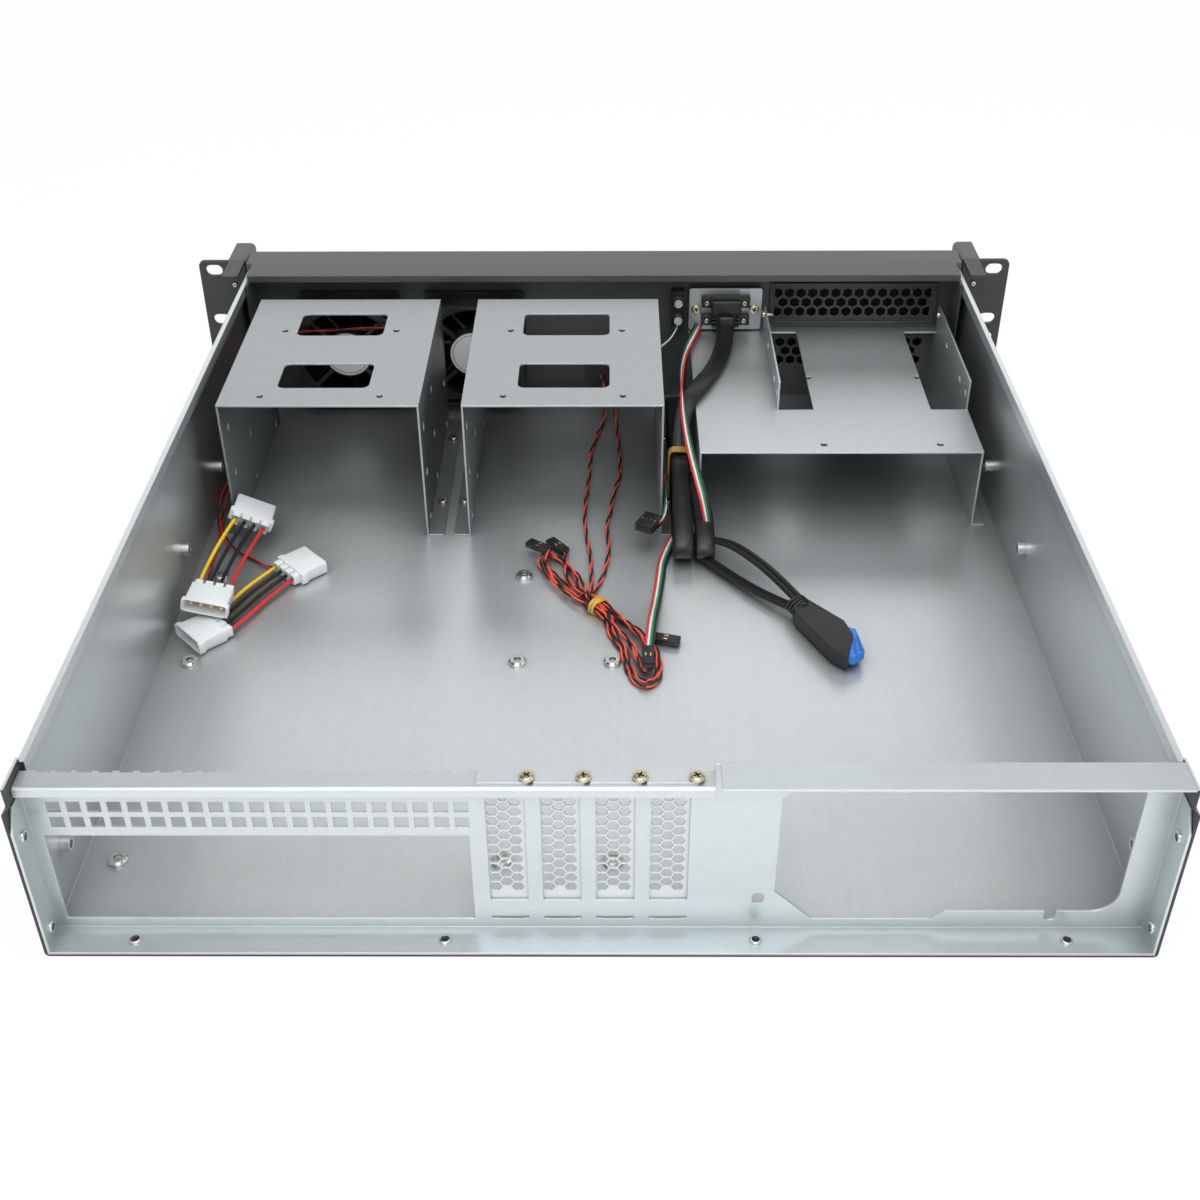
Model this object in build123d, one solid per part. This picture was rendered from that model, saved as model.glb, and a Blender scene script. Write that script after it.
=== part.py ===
from build123d import *
import os
from math import radians, sqrt, tan

# Overall sizes, in millimetres
RACK_WIDTH = 482.6
PANEL_HEIGHT = 88.0
EAR_WIDTH = 27.8
CASE_DEPTH = 445.0
HANDLE_REACH = 30.5
BEZEL_REACH = 14.0
REAR_FLANGE = 13.5

# Sheet and clearances
SHEET = 1.0
SEAT_GAP = 0.2
SIDE_GAP = 0.3

# Base tray
JOGGLE_STEP = 2.6
JOGGLE_BOTTOM = 74.0
JOGGLE_RISE = 3.0
JOGGLE_SOFTENING = 0.4
WALL_HEIGHT = 84.5
HEM_HEIGHT = 6.0
HEM_THICKNESS = 2.4
REAR_TAB_LENGTH = 17.0
REAR_TAB_HEIGHT = 86.4
TRAY_BEND_RADIUS = 1.8

# Front panel, behind the bezel
PANEL_BACK = 4.0
TOP_FLANGE_DEPTH = 18.0
TOP_LIP = 4.0
SIDE_FLANGE_DEPTH = 25.0
BOTTOM_FLANGE_DEPTH = 12.0

# Rack ears and handles
EAR_THICKNESS = 2.0
EAR_CORNER = 3.5
EAR_RETURN_DEPTH = 30.0
EAR_SLOT_EDGE = 8.75
EAR_SLOT_LENGTH = 10.0
EAR_SLOT_WIDTH = 6.8
EAR_SLOT_OUTER_PITCH = 76.2
EAR_SLOT_INNER_PITCH = 12.7
HANDLE_WIDTH = 11.0
HANDLE_BAR = 9.0
HANDLE_CORNER = 4.0
HANDLE_ROUND = 3.0
HANDLE_OVERLAP = 1.0
TAB_THICKNESS = 1.5
EAR_SCREW_RADIUS = 1.5
EAR_SCREW_MARGIN = 15.0

# Rear panel
IO_WIDTH = 158.75
IO_HEIGHT = 44.45
IO_LEFT = 207.4
IO_BOTTOM = 6.6
VENT_SIZE = 5.2
VENT_PITCH_X = 7.5
VENT_PITCH_Z = 7.6
VENT_COLUMNS = 21
VENT_ROWS = 3
VENT_FIRST_X = 200.8
VENT_FIRST_Z = 57.9
SHELF_HEIGHT = 82.5
SHELF_DEPTH = 9.0
SHELF_LIP = 4.0
SHELF_RADIUS = 1.8
SHELF_END_X = -41.5
TOP_FLANGE_HEIGHT = 86.6
SIDE_FLANGE_HEIGHT = 80.5
SIDE_FLANGE_CHAMFER = 8.0
SIDE_FLANGE_LEAN = 1.2
SHELF_END_OVERLAP = 2.0

# Expansion slots
SLOT_COUNT = 4
SLOT_PITCH = 20.32
SLOT_FIRST_X = 42.0
SLOT_WIDTH = 14.4
SLOT_BOTTOM = 17.0
TONGUE_Z = 7.4
TONGUE_HEIGHT = 1.6
TONGUE_SIDE = 2.0
COVER_WIDTH = 18.4
COVER_THICKNESS = 0.8
COVER_TAB_DEPTH = 8.0
COVER_HOLE_SIZE = 4.2
COVER_HOLE_PITCH_Z = 4.9
COVER_HOLE_PITCH_X = 4.2
COVER_HOLE_ROWS = 11
COVER_HOLE_COLUMNS = 3
COVER_HOLE_EDGE = 0.9
COVER_HOLE_BOTTOM = 23.3

# Power supply opening
PSU_RIGHT = -199.0
PSU_LEFT = -66.8
PSU_BOTTOM = 6.6
PSU_STEP = 11.0
PSU_TOP = 76.0
PSU_CORNER = 15.0
PSU_TOP_CORNER = 6.0
PSU_STEP_X = -128.0
PSU_STEP_RUN = 5.0
PSU_ROUND = 9.5
PSU_HOLE_X = -60.5
PSU_HOLE_Z = 18.0
PSU_HOLE_SIZE = 4.4
PSU_HOLE_STRETCH = 1.3
PSU_NOTCH_X = -174.0
PSU_NOTCH_WIDTH = 4.6
PSU_NOTCH_DEPTH = 5.0
HOLE_ROUNDING = 2.2

# Board nuts in the floor
NUT_RADIUS = 4.2
NUT_BORE = 1.75
NUT_HEIGHT = 2.2
NUT_CHAMFER = 0.8
BOARD_SIDE = 15.3
BOARD_ROW_2 = 168.5
BOARD_PITCH_X = 157.48
BOARD_FAR_PITCH_X = 203.2
BOARD_REAR_PITCH = 132.08
BOARD_FRONT_PITCH = 72.39

# Rail nuts in the side walls
RAIL_NUT_RADIUS = 3.2
RAIL_NUT_BORE = 1.7
RAIL_NUT_LENGTH = 4.0
RAIL_NUT_Z = 25.0
RAIL_NUT_BACK = (22.0, 231.0, 312.5)

# Drive cages
CAGE_INNER = 101.7
CAGE_HEIGHT = 80.5
CAGE_FRONT = 33.0
CAGE_DEPTH = 127.7
CAGE_LEFT_X = 145.7
CAGE_RIGHT_X = 20.35
CAGE_FLANGE = 9.2
CAGE_WINDOW = (48.0, 28.0)
CAGE_WINDOW_RADIUS = 4.0
CAGE_WINDOW_PITCH = 61.5
DISK_PITCH_X = 61.72
DISK_PITCH_Y = 76.6
DISK_HOLE_RADIUS = 1.8
DISK_FIRST_BACK = 10.0
DRIVE_HOLE_Z = 5.8
DRIVE_PITCH_Z = 27.6
DRIVE_ROWS = 3
DRIVE_HOLE_BACK = 13.5
DRIVE_HOLE_STEPS = (0.0, 41.6, 101.6)
DRIVE_HOLE = 5.6
CAGE_SCREW_BACK = 33.2
CAGE_SCREW_PITCH = 70.7

# Bay bracket
BAY_LEFT = -51.2
BAY_RIGHT = -200.8
BAY_HEIGHT = 47.0
BAY_LENGTH = 150.5
BAY_FLANGE = 7.0
BAY_WINDOW_WIDTH = 19.2
BAY_WINDOW_BACK = 46.5
BAY_WINDOW_DEPTH = 97.0
BAY_INNER = 103.0
BAY_DISK_BACK = 8.0
UPRIGHT_HEIGHT = 18.2
UPRIGHT_HOLE = 5.4
UPRIGHT_HOLE_STEPS = (5.5, 22.0, 63.0)

# Fans
FAN_SIZE = 60.0
FAN_DEPTH = 25.0
FAN_X = (152.5, 77.5)
FAN_Z = 41.5
FAN_CORNER = 3.0
FAN_THROAT = 28.2
FAN_HOLE_PITCH = 50.0
FAN_HOLE_RADIUS = 2.2
FAN_PLATE = 3.5
FAN_SPINE = 26.5
FAN_HUB_RADIUS = 14.5
FAN_STRUT_WIDTH = 2.4
FAN_STRUT_DEPTH = 3.0
FAN_STRUTS = 4
BLADES = 7
BLADE_RADIUS = 27.3
BLADE_THICKNESS = 1.4
BLADE_PITCH = 38.0
BLADE_SPAN_Y = 15.0
AXLE_RADIUS = 1.5
AXLE_GAP = 0.05
AXLE_BACK = 6.0
AXLE_END_GAP = 0.5
HUB_BACK = 3.0
HUB_GAP = 0.8
HUB_BITE = 1.0
THROAT_WALL = 1.4
STRUT_TURN = 45.0

# Bezel slots, in front of the fans and under the grille
BEZEL_SLOT = 4.4
BEZEL_OVERLAP = 1.0
FAN_SLOT_PITCH = 7.6
FAN_SLOT_SIDE = 3
BAY_SLOT_BOTTOM = 15.0
BAY_SLOT_PITCH = 8.0
BAY_SLOTS = 4
BAY_SLOT_MARGIN = 4.0

# Front grille and openings
GRILLE_LEFT = -99.6
GRILLE_RIGHT = -199.0
GRILLE_BOTTOM = 50.5
GRILLE_TOP = 76.5
GRILLE_FRAME = 1.6
GRILLE_RIM = 3.0
HEX_SIZE = 5.4
HEX_PITCH = 6.95
HEX_COLUMNS = 13
HEX_ROWS = 3
HEX_TOP_Z = 69.6
LOWER_HEX_ROWS = 3
LOWER_HEX_TOP_Z = 37.0

# Port plate
PORT_X = -72.8
PORT_Z = 61.2
PORT_SIZE = (43.4, 26.4)
PORT_BACK = 5.0
PORT_SCREW_PITCH = 34.6
PORT_SMALL_PITCH = (22.2, 11.2)
HOUSING_SIZE = (26.4, 18.0)
HOUSING_DEPTH = 4.0
HOUSING_BODY = (16.4, 19.0)
HOUSING_BODY_DEPTH = 11.0
PORT_CORNER = 1.6
HOUSING_CORNER = 1.0
HOUSING_BODY_CORNER = 1.5
PANEL_PORT_MARGIN = (0.0, 4.0)
BEZEL_PORT_MARGIN = (2.0, 5.0)
PLATE_PORT_MARGIN = (1.0, 6.0)
MOUTH_MARGIN = (2.0, 8.0)
SOCKET_PITCH = 6.75
SOCKET_SIZE = (5.0, 10.0)

# Buttons and light guides
BUTTON_X = (5.0, -10.0)
BUTTON_Z = 25.0
BUTTON_RADIUS = (4.5, 2.5)
BUTTON_CLEARANCE = 0.15
BUTTON_TRAVEL = 1.5
BUTTON_COLLAR = 1.5
BUTTON_COLLAR_RIM = 1.2
BUTTON_PROUD = 1.8
LED_X = -44.5
LED_Z = 62.0
LED_SIZE = (8.0, 22.0)
LED_DEPTH = 6.0
GUIDE_SIZE = 5.0
GUIDE_LENGTH = 12.0
GUIDE_FIT = 0.05

# Fasteners
COVER_SCREW_SIDE = 1.6
COVER_SCREW_BACK = 3.6
EAR_SCREW_SIDE = 7.8
SPACER_RADIUS = 2.6
SCREW_RADIUS = 2.9
SCREW_HEIGHT = 1.6
SMALL_SCREW_HEIGHT = 1.0
HEAD_ROUNDING = 0.45
RIVET_RADIUS = 2.4
RIVET_HEIGHT = 1.0
RIVET_X = (180.0, 60.0)
RIVET_Z = (9.5, 57.5)
RIVET_BACK = 7.0

# Switch block behind the buttons
SWITCH_BLOCK = (27.0, 14.0)
SWITCH_DEPTH = 11.0
SWITCH_POCKET = 3.6

# Power plugs: width, length and height, the wider lip, and the sleeve at the wires
PLUG_SIZE = (21.0, 16.0, 7.0)
PLUG_LIP = (23.4, 3.5, 5.0)
PLUG_SLEEVE = (19.0, 4.0, 5.0)
PLUG_CORNER = 1.4
PLUG_PITCH = 5.08
PLUG_PLACES = (
    ((185.6, -42.0, 18.8), 180.6, 24.0),
    ((194.4, 27.1, 14.2), -3.6, -11.0),
    ((157.6, -14.0, 4.8), 133.0, 0.0),
    ((194.8, 42.2, 4.8), -47.0, 0.0),
)

# Red and black lead bundle on the floor
HANK_HEIGHT = (1.3, 7.2)
HANK_NECK = (20.0, 8.4)
HANK_MIDDLE = (2.4, 20.4)
HANK_TURN = 135.0
BAND_LENGTH = 5.0
BAND_THICKNESS = 0.9
HANK_LOBE_1 = (
    (4.5, 12.5), (11.5, 18.5), (18, 13), (28, -2), (34.5, -19), (30, -29), (21, -27), (9, -8), (2, 5),
)
HANK_LOBE_2 = (
    (0.5, 29), (0, 40), (-4, 48), (-10.5, 56), (-10.5, 69), (-14, 83), (-22, 86), (-29, 74), (-28, 51),
    (-17, 34),
    (-8.5, 23),
)
PIN_CONNECTOR = (14.0, 5.6, 2.8)
PIN_CONNECTOR_PLACES = (
    ((33.6, -27.6, 8.0), -35.0),
    ((24.0, -35.0, 3.4), -52.0),
    ((-21.9, 68.0, 9.2), 88.0),
    ((-31.0, 47.0, 3.4), 165.0),
)

# Black port cable folded between the cage and the bay bracket
FOLD_SIDE = (
    (-174, 8), (-174, 24), (-99, 27), (-58, 24), (-31, 20), (-19, 12), (-16, 2), (-40, 2), (-52, 6.4),
)
FOLD_X = (-47.2, -36.6)
LOBE_SIDE = ((-50, 7), (-50, 17), (-34, 17), (-22, 11), (-19, 2), (-38, 2))
LOBE_X = (-60.0, -47.2)
FOLD_BAND_Y = (-102.0, -96.0)

# Header connector beside the fold, and the angled plug on the port cable
HEADER_SIZE = (13.0, 10.0, 5.0)
HEADER_PLACE = ((-24.3, -36.4, 17.0), 61.0)
BOOT_OUTLINE = (
    (-101.4, 23.4), (-117.7, 41.8), (-120.9, 53.4), (-116.3, 70.9), (-109.5, 64.7), (-95.4, 36.0),
    (-94.4, 29.0),
)
BOOT_HEIGHT = (3.4, 11.0)
BOOT_NECK = ((-95.9, 22.7, 8.0), 4.0, 8.0)
BOOT_TURN = 29.9
BLUE_OUTLINE = (
    (-117.3, 44.3), (-123.0, 47.0), (-125.0, 64.5), (-119.6, 69.2), (-116.6, 68.6), (-120.3, 53.4),
)
BLUE_HEIGHT = (4.6, 9.8)

# Cord sizes
WIRE_RADIUS = 1.0
THIN_RADIUS = 0.9
TWISTED_RADIUS = 1.2
RIBBON = (5.2, 1.4)
PORT_FLAT = (8.4, 2.4)
PORT_LEAD_RADIUS = 2.0
HEADER_LEAD_RADIUS = 1.0
CORD_SIDES = 8

# Routes of the cords, chosen by hand, as places in the case whose panel stands at ROUTE_PANEL
ROUTE_PANEL = -209.0
LINK_ROUTES = (
    ((192.6, -33.2, 21.9), (198.4, -8.5, 20.5), (201.8, 18.6, 15.4)),
    ((188.0, -33.2, 19.8), (193.8, -8.5, 18.4), (196.9, 18.6, 14.5)),
    ((183.3, -33.2, 17.8), (189.2, -8.5, 16.4), (192.0, 18.6, 13.6)),
    ((178.7, -33.2, 15.7), (184.7, -8.5, 14.0), (187.0, 18.6, 12.6)),
    ((170.1, -12.9, 4.8), (180.5, 1.5, 4.2), (187.5, 17.0, 4.2), (192.6, 29.9, 4.8)),
    ((166.6, -9.2, 4.8), (177.0, 5.2, 4.2), (183.9, 20.8, 4.2), (189.1, 33.6, 4.8)),
    ((163.2, -5.4, 4.8), (173.2, 9.4, 4.2), (180.1, 25.2, 4.2), (185.6, 37.3, 4.8)),
    ((159.7, -1.8, 4.8), (169.4, 13.4, 4.2), (176.2, 29.4, 4.2), (182.1, 41.0, 4.8)),
)
FAN_LEAD_ROUTES = (
    (
        (181.6, -190, 66), (193, -186, 63), (203.5, -172, 54), (205.5, -146, 34), (206.2, -112, 17),
        (207.4, -80, 8.5), (207.6, -58, 4.4), (205.6, -40, 2.4), (204.6, -14, 3.0), (201.4, 6, 8.0),
        (199.4, 18, 11.6),
    ),
    (
        (106.8, -188, 64), (113, -182, 62), (128, -180.2, 60.5), (150, -179.8, 60), (176, -180.6, 58.5),
        (199, -179.6, 53), (208.4, -168, 42), (209.8, -142, 26), (210.2, -112, 13.5), (210.6, -84, 9.5),
        (209.6, -60, 7.0), (204.5, -44, 5.6), (196, -33, 2.6), (186, -25.5, 2.3), (178.6, -19.6, 2.6),
        (171.4, -14.2, 3.0),
    ),
)
PANEL_LEAD_ROUTES = (
    (
        (1.5, -199.5, 21), (0.5, -190, 16), (-1.5, -178, 6), (1.8, -163, 2.6), (7.0, -142, 2.5),
        (8.1, -104.8, 2.5), (10.5, -67.8, 2.5), (8.9, -46, 2.5), (6.0, -24, 2.5), (5.8, -6.0, 3.0),
        (5.0, 3.0, 4.2),
    ),
    (
        (-5.5, -199.5, 21), (-6.0, -190, 15.5), (-6.6, -178, 6), (-8.2, -162, 2.6), (-9.2, -140, 2.5),
        (-10, -110, 2.5), (-6.1, -91.8, 2.5), (-4.1, -70, 2.5), (-1.6, -53.2, 2.5), (-3.7, -35, 2.5),
        (-1.4, -14, 2.5), (1.0, -1.0, 3.4), (1.8, 9.0, 4.2),
    ),
)
LED_LEAD_ROUTE = (
    (-44.5, -204.2, 52.4), (-42.5, -196, 50.0), (-37, -187, 46.5), (-27, -181.6, 42.5), (-15, -182.6, 36.5),
    (-8.5, -189.6, 31.5), (-7.0, -199, 28.5),
)
PORT_CABLE_ROUTE = (
    (-72.5, -194, 56), (-71.5, -178, 51.5), (-65, -152, 50), (-55, -128, 51.4), (-46, -110, 50),
    (-42.6, -95, 40), (-41.9, -83, 25.5),
)
PORT_LEAD_ROUTES = (
    ((-50, -25, 5), (-61, -12, 4.4), (-76, 6.5, 5), (-88, 18.5, 5.8), (-95.8, 25.1, 6.2)),
    ((-52, -30, 11), (-63, -23, 15.5), (-79, -5, 14.6), (-91, 12.0, 11.8), (-98.0, 23.8, 9.8)),
)
RIBBON_UPPER_ROUTE = (
    (-57.3, -204.4, 50.6), (-51, -182, 51.6), (-45, -150, 54), (-43, -112, 55), (-44.8, -74, 48.5),
    (-49.6, -50, 38.5), (-54.0, -39.5, 26), (-56, -36, 14),
)
RIBBON_LOWER_ROUTE = (
    (-38.6, -44, 4.6), (-31.6, -26, 2.4), (-29.9, -8, 2.3), (-27.4, 14, 3.0), (-25.2, 34, 9.2),
    (-23.4, 50, 9.4), (-22.4, 63, 9.2),
)
HEADER_LEAD_ROUTE = (
    (-27.6, -34.7, 17), (-31.6, -38.2, 17.3), (-33.3, -48, 17.9), (-33.5, -62, 18.4), (-34.3, -80, 19),
    (-37.6, -90.5, 19.2),
)

# Places worked out from the sizes above
half_depth = (HANDLE_REACH + CASE_DEPTH + REAR_FLANGE) / 2
rear_edge = half_depth
rear_face = rear_edge - REAR_FLANGE
ear_plane = rear_face - CASE_DEPTH
handle_front = ear_plane - HANDLE_REACH
bezel_front = ear_plane - BEZEL_REACH
panel_face = ear_plane + PANEL_BACK
panel_inside = panel_face + SHEET
half_width = RACK_WIDTH / 2 - EAR_WIDTH
case_width = 2 * half_width
inner_half = half_width - SHEET
upper_inner = half_width - JOGGLE_STEP - SHEET
hem_inner = half_width - JOGGLE_STEP - HEM_THICKNESS
floor_top = SHEET
cage_front = panel_inside + CAGE_FRONT
cage_rear = cage_front + CAGE_DEPTH
bay_rear = panel_inside + BAY_LENGTH
window_rear = bay_rear - BAY_WINDOW_BACK
window_front = window_rear - BAY_WINDOW_DEPTH


def back(distance):
    """Y of a place that lies this far in front of the rear panel."""
    return rear_face - distance


def block(x, y, z):
    """Box between two limits on each axis."""
    size = (x[1] - x[0], y[1] - y[0], z[1] - z[0])
    return Pos((x[0] + x[1]) / 2, (y[0] + y[1]) / 2, (z[0] + z[1]) / 2) * Box(*size)


def plane_y(y):
    """Plane across the case at y, seen from the front: X to the right, Z up."""
    return Plane((0, y, 0), x_dir=(1, 0, 0), z_dir=(0, -1, 0))


def plane_x(x):
    """Plane along the case at x: Y to the right, Z up."""
    return Plane((x, 0, 0), x_dir=(0, 1, 0), z_dir=(1, 0, 0))


def prism_y(sketch, y):
    """Sketch in X and Z, given its length between two limits of Y."""
    return extrude(plane_y(max(y)) * sketch, abs(y[1] - y[0]), dir=(0, -1, 0))


def prism_x(sketch, x):
    """Sketch in Y and Z, given its width between two limits of X."""
    return extrude(plane_x(min(x)) * sketch, abs(x[1] - x[0]), dir=(1, 0, 0))


def prism_z(sketch, z):
    """Sketch in X and Y, given its height between two limits of Z."""
    return extrude(Plane.XY.offset(min(z)) * sketch, abs(z[1] - z[0]), dir=(0, 0, 1))


def outline(*points):
    """Closed polygon through the points."""
    return Polygon(*points, align=None)


def mirror_x(part):
    """The same piece on the other side of the case."""
    return mirror(part, about=Plane.YZ)


def rod_y(x, z, radius, y):
    """Round rod along Y."""
    return prism_y(Pos(x, z) * Circle(radius), y)


def rod_x(y, z, radius, x):
    """Round rod along X."""
    return prism_x(Pos(y, z) * Circle(radius), x)


def rod_z(x, y, radius, z):
    """Round rod along Z."""
    return prism_z(Pos(x, y) * Circle(radius), z)


def standing_rod(radius, height):
    """Round rod that stands on the origin."""
    return Cylinder(radius, height, align=(Align.CENTER, Align.CENTER, Align.MIN))


def hex_field(first_x, top_z, columns, rows, pitch, size):
    """Staggered hexagonal holes, in X and Z, from the top row down."""
    holes = Sketch()
    row_pitch = pitch * sqrt(3) / 2
    for row in range(rows):
        shift = 0.5 * (row % 2)
        for column in range(columns + 1 - row % 2):
            place = Pos(first_x - (column + shift) * pitch, top_z - row * row_pitch)
            holes += place * RegularPolygon(size / 2, 6, major_radius=False, rotation=30)
    return holes


def bend_radii(points):
    """Radius of each bend of a cord: as large as its two runs allow."""
    radii = []
    for before, corner, after in zip(points, points[1:], points[2:]):
        run_in = Vector(*corner) - Vector(*before)
        run_out = Vector(*after) - Vector(*corner)
        half_turn = radians(run_in.get_angle(run_out)) / 2
        radii.append(0.45 * min(run_in.length, run_out.length) / tan(half_turn))
    return radii


def cord(name, points, radius, sides=0):
    """Cord of straight runs joined by tangent arcs. Prints its length and radii."""
    radii = bend_radii(points)
    path = FilletPolyline(*points, radius=radii)
    section = RegularPolygon(radius, sides) if sides else Circle(radius)
    tube = sweep(Plane(origin=path @ 0, z_dir=path % 0) * section, path=path)
    ratio = tube.volume / (section.area * path.length)
    print(name, "length", round(path.length, 1), "volume ratio", round(ratio, 4),
          "radii", [round(r, 1) for r in radii])
    return tube


def tray_section(top, hem):
    """Half section of the tray in X and Z, from the middle of the floor to one wall's top."""
    upper_outer = half_width - JOGGLE_STEP
    joggle_top = JOGGLE_BOTTOM + JOGGLE_RISE
    points = [
        (0, 0),
        (half_width, 0),
        (half_width, JOGGLE_BOTTOM),
        (upper_outer, joggle_top),
        (upper_outer, top),
    ]
    if hem:
        points += [(hem_inner, top), (hem_inner, top - HEM_HEIGHT), (upper_inner, top - HEM_HEIGHT)]
    else:
        points += [(upper_inner, top)]
    points += [
        (upper_inner, joggle_top + JOGGLE_SOFTENING),
        (inner_half, JOGGLE_BOTTOM + JOGGLE_SOFTENING),
        (inner_half, SHEET),
        (0, SHEET),
    ]
    section = outline(*points)
    corner = section.vertices().sort_by_distance((half_width, 0, 0))[0]
    return fillet(corner, TRAY_BEND_RADIUS)


def board_nut_places():
    """Centres of the board nuts, in X and Y."""
    row_2 = back(BOARD_ROW_2)
    row_1 = row_2 + BOARD_REAR_PITCH
    row_3 = row_2 - BOARD_FRONT_PITCH
    column = half_width - BOARD_SIDE
    columns = (column, column - BOARD_PITCH_X, column - BOARD_FAR_PITCH_X)
    places = [(x, row) for row in (row_1, row_2) for x in columns]
    return places + [(x, row_3) for x in columns[:2]]


def make_base_tray():
    """Floor and side walls, folded from one sheet."""
    start_tab = rear_edge - REAR_TAB_LENGTH
    half = prism_y(tray_section(WALL_HEIGHT, True), (panel_inside, start_tab))
    half += prism_y(tray_section(REAR_TAB_HEIGHT, False), (start_tab, rear_edge))
    tray = half + mirror_x(half)
    for x, y in board_nut_places():
        tray -= rod_z(x, y, NUT_BORE, (-SHEET, 2 * SHEET))
    for distance in RAIL_NUT_BACK:
        tray -= rod_x(back(distance), RAIL_NUT_Z, RAIL_NUT_BORE, (-case_width, case_width))
    return tray


def make_floor_nuts():
    """Clinch nuts in the floor for the board."""
    nuts = []
    for x, y in board_nut_places():
        base = Pos(x, y, floor_top) * standing_rod(NUT_RADIUS, NUT_HEIGHT)
        base = chamfer(base.edges().sort_by(Axis.Z)[-1], NUT_CHAMFER)
        nuts.append(base - rod_z(x, y, NUT_BORE, (0, PANEL_HEIGHT)))
    return Compound(nuts)


def make_wall_nuts():
    """Clinch nuts in the side walls for slide rails."""
    nuts = []
    for distance in RAIL_NUT_BACK:
        y = back(distance)
        span = (inner_half - RAIL_NUT_LENGTH, inner_half)
        nut = rod_x(y, RAIL_NUT_Z, RAIL_NUT_RADIUS, span)
        nut -= rod_x(y, RAIL_NUT_Z, RAIL_NUT_BORE, (0, case_width))
        nuts += [nut, mirror_x(nut)]
    return Compound(nuts)


def psu_outline():
    """Opening for the power supply, in X and Z."""
    left, right = PSU_LEFT, PSU_RIGHT
    points = [
        (left, PSU_BOTTOM + PSU_CORNER),
        (left - PSU_CORNER, PSU_BOTTOM),
        (PSU_STEP_X, PSU_BOTTOM),
        (PSU_STEP_X - PSU_STEP_RUN, PSU_STEP),
        (right, PSU_STEP),
        (right, PSU_TOP),
        (left - PSU_TOP_CORNER, PSU_TOP),
        (left, PSU_TOP - PSU_TOP_CORNER),
    ]
    shape = outline(*points)
    round_corner = shape.vertices().sort_by_distance((right, PSU_STEP, 0))[0]
    return fillet(round_corner, PSU_ROUND)


def rear_openings():
    """All openings of the rear panel's face, in X and Z."""
    io = Pos(IO_LEFT - IO_WIDTH / 2, IO_BOTTOM + IO_HEIGHT / 2) * Rectangle(IO_WIDTH, IO_HEIGHT)
    cuts = io + psu_outline()
    for column in range(VENT_COLUMNS):
        for row in range(VENT_ROWS):
            place = Pos(VENT_FIRST_X - column * VENT_PITCH_X, VENT_FIRST_Z + row * VENT_PITCH_Z)
            cuts += place * Rectangle(VENT_SIZE, VENT_SIZE)
    slot_top = SHELF_HEIGHT - SHEET
    for slot in range(SLOT_COUNT):
        middle = SLOT_FIRST_X - SLOT_WIDTH / 2 - slot * SLOT_PITCH
        height = slot_top - SLOT_BOTTOM
        cuts += Pos(middle, SLOT_BOTTOM + height / 2) * Rectangle(SLOT_WIDTH, height)
        cuts += Pos(middle, TONGUE_Z) * Rectangle(SLOT_WIDTH, TONGUE_HEIGHT)
    hole_height = PSU_HOLE_SIZE * PSU_HOLE_STRETCH
    hole = RectangleRounded(PSU_HOLE_SIZE, hole_height, PSU_HOLE_SIZE / HOLE_ROUNDING)
    cuts += Pos(PSU_HOLE_X, PSU_HOLE_Z) * hole
    notch_height = 2 * PSU_NOTCH_DEPTH
    notch = RectangleRounded(PSU_NOTCH_WIDTH, notch_height, PSU_NOTCH_WIDTH / HOLE_ROUNDING)
    cuts += Pos(PSU_NOTCH_X, PSU_STEP) * notch
    return cuts


def side_flange_outline():
    """Side flange of the rear panel, in Y and Z, with its cut corner."""
    y0 = rear_face - SHEET
    return outline(
        (y0, floor_top),
        (rear_edge, floor_top),
        (rear_edge, SIDE_FLANGE_HEIGHT - 2 * SIDE_FLANGE_CHAMFER),
        (rear_edge - SIDE_FLANGE_LEAN * SIDE_FLANGE_CHAMFER, SIDE_FLANGE_HEIGHT),
        (y0, SIDE_FLANGE_HEIGHT),
    )


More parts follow.
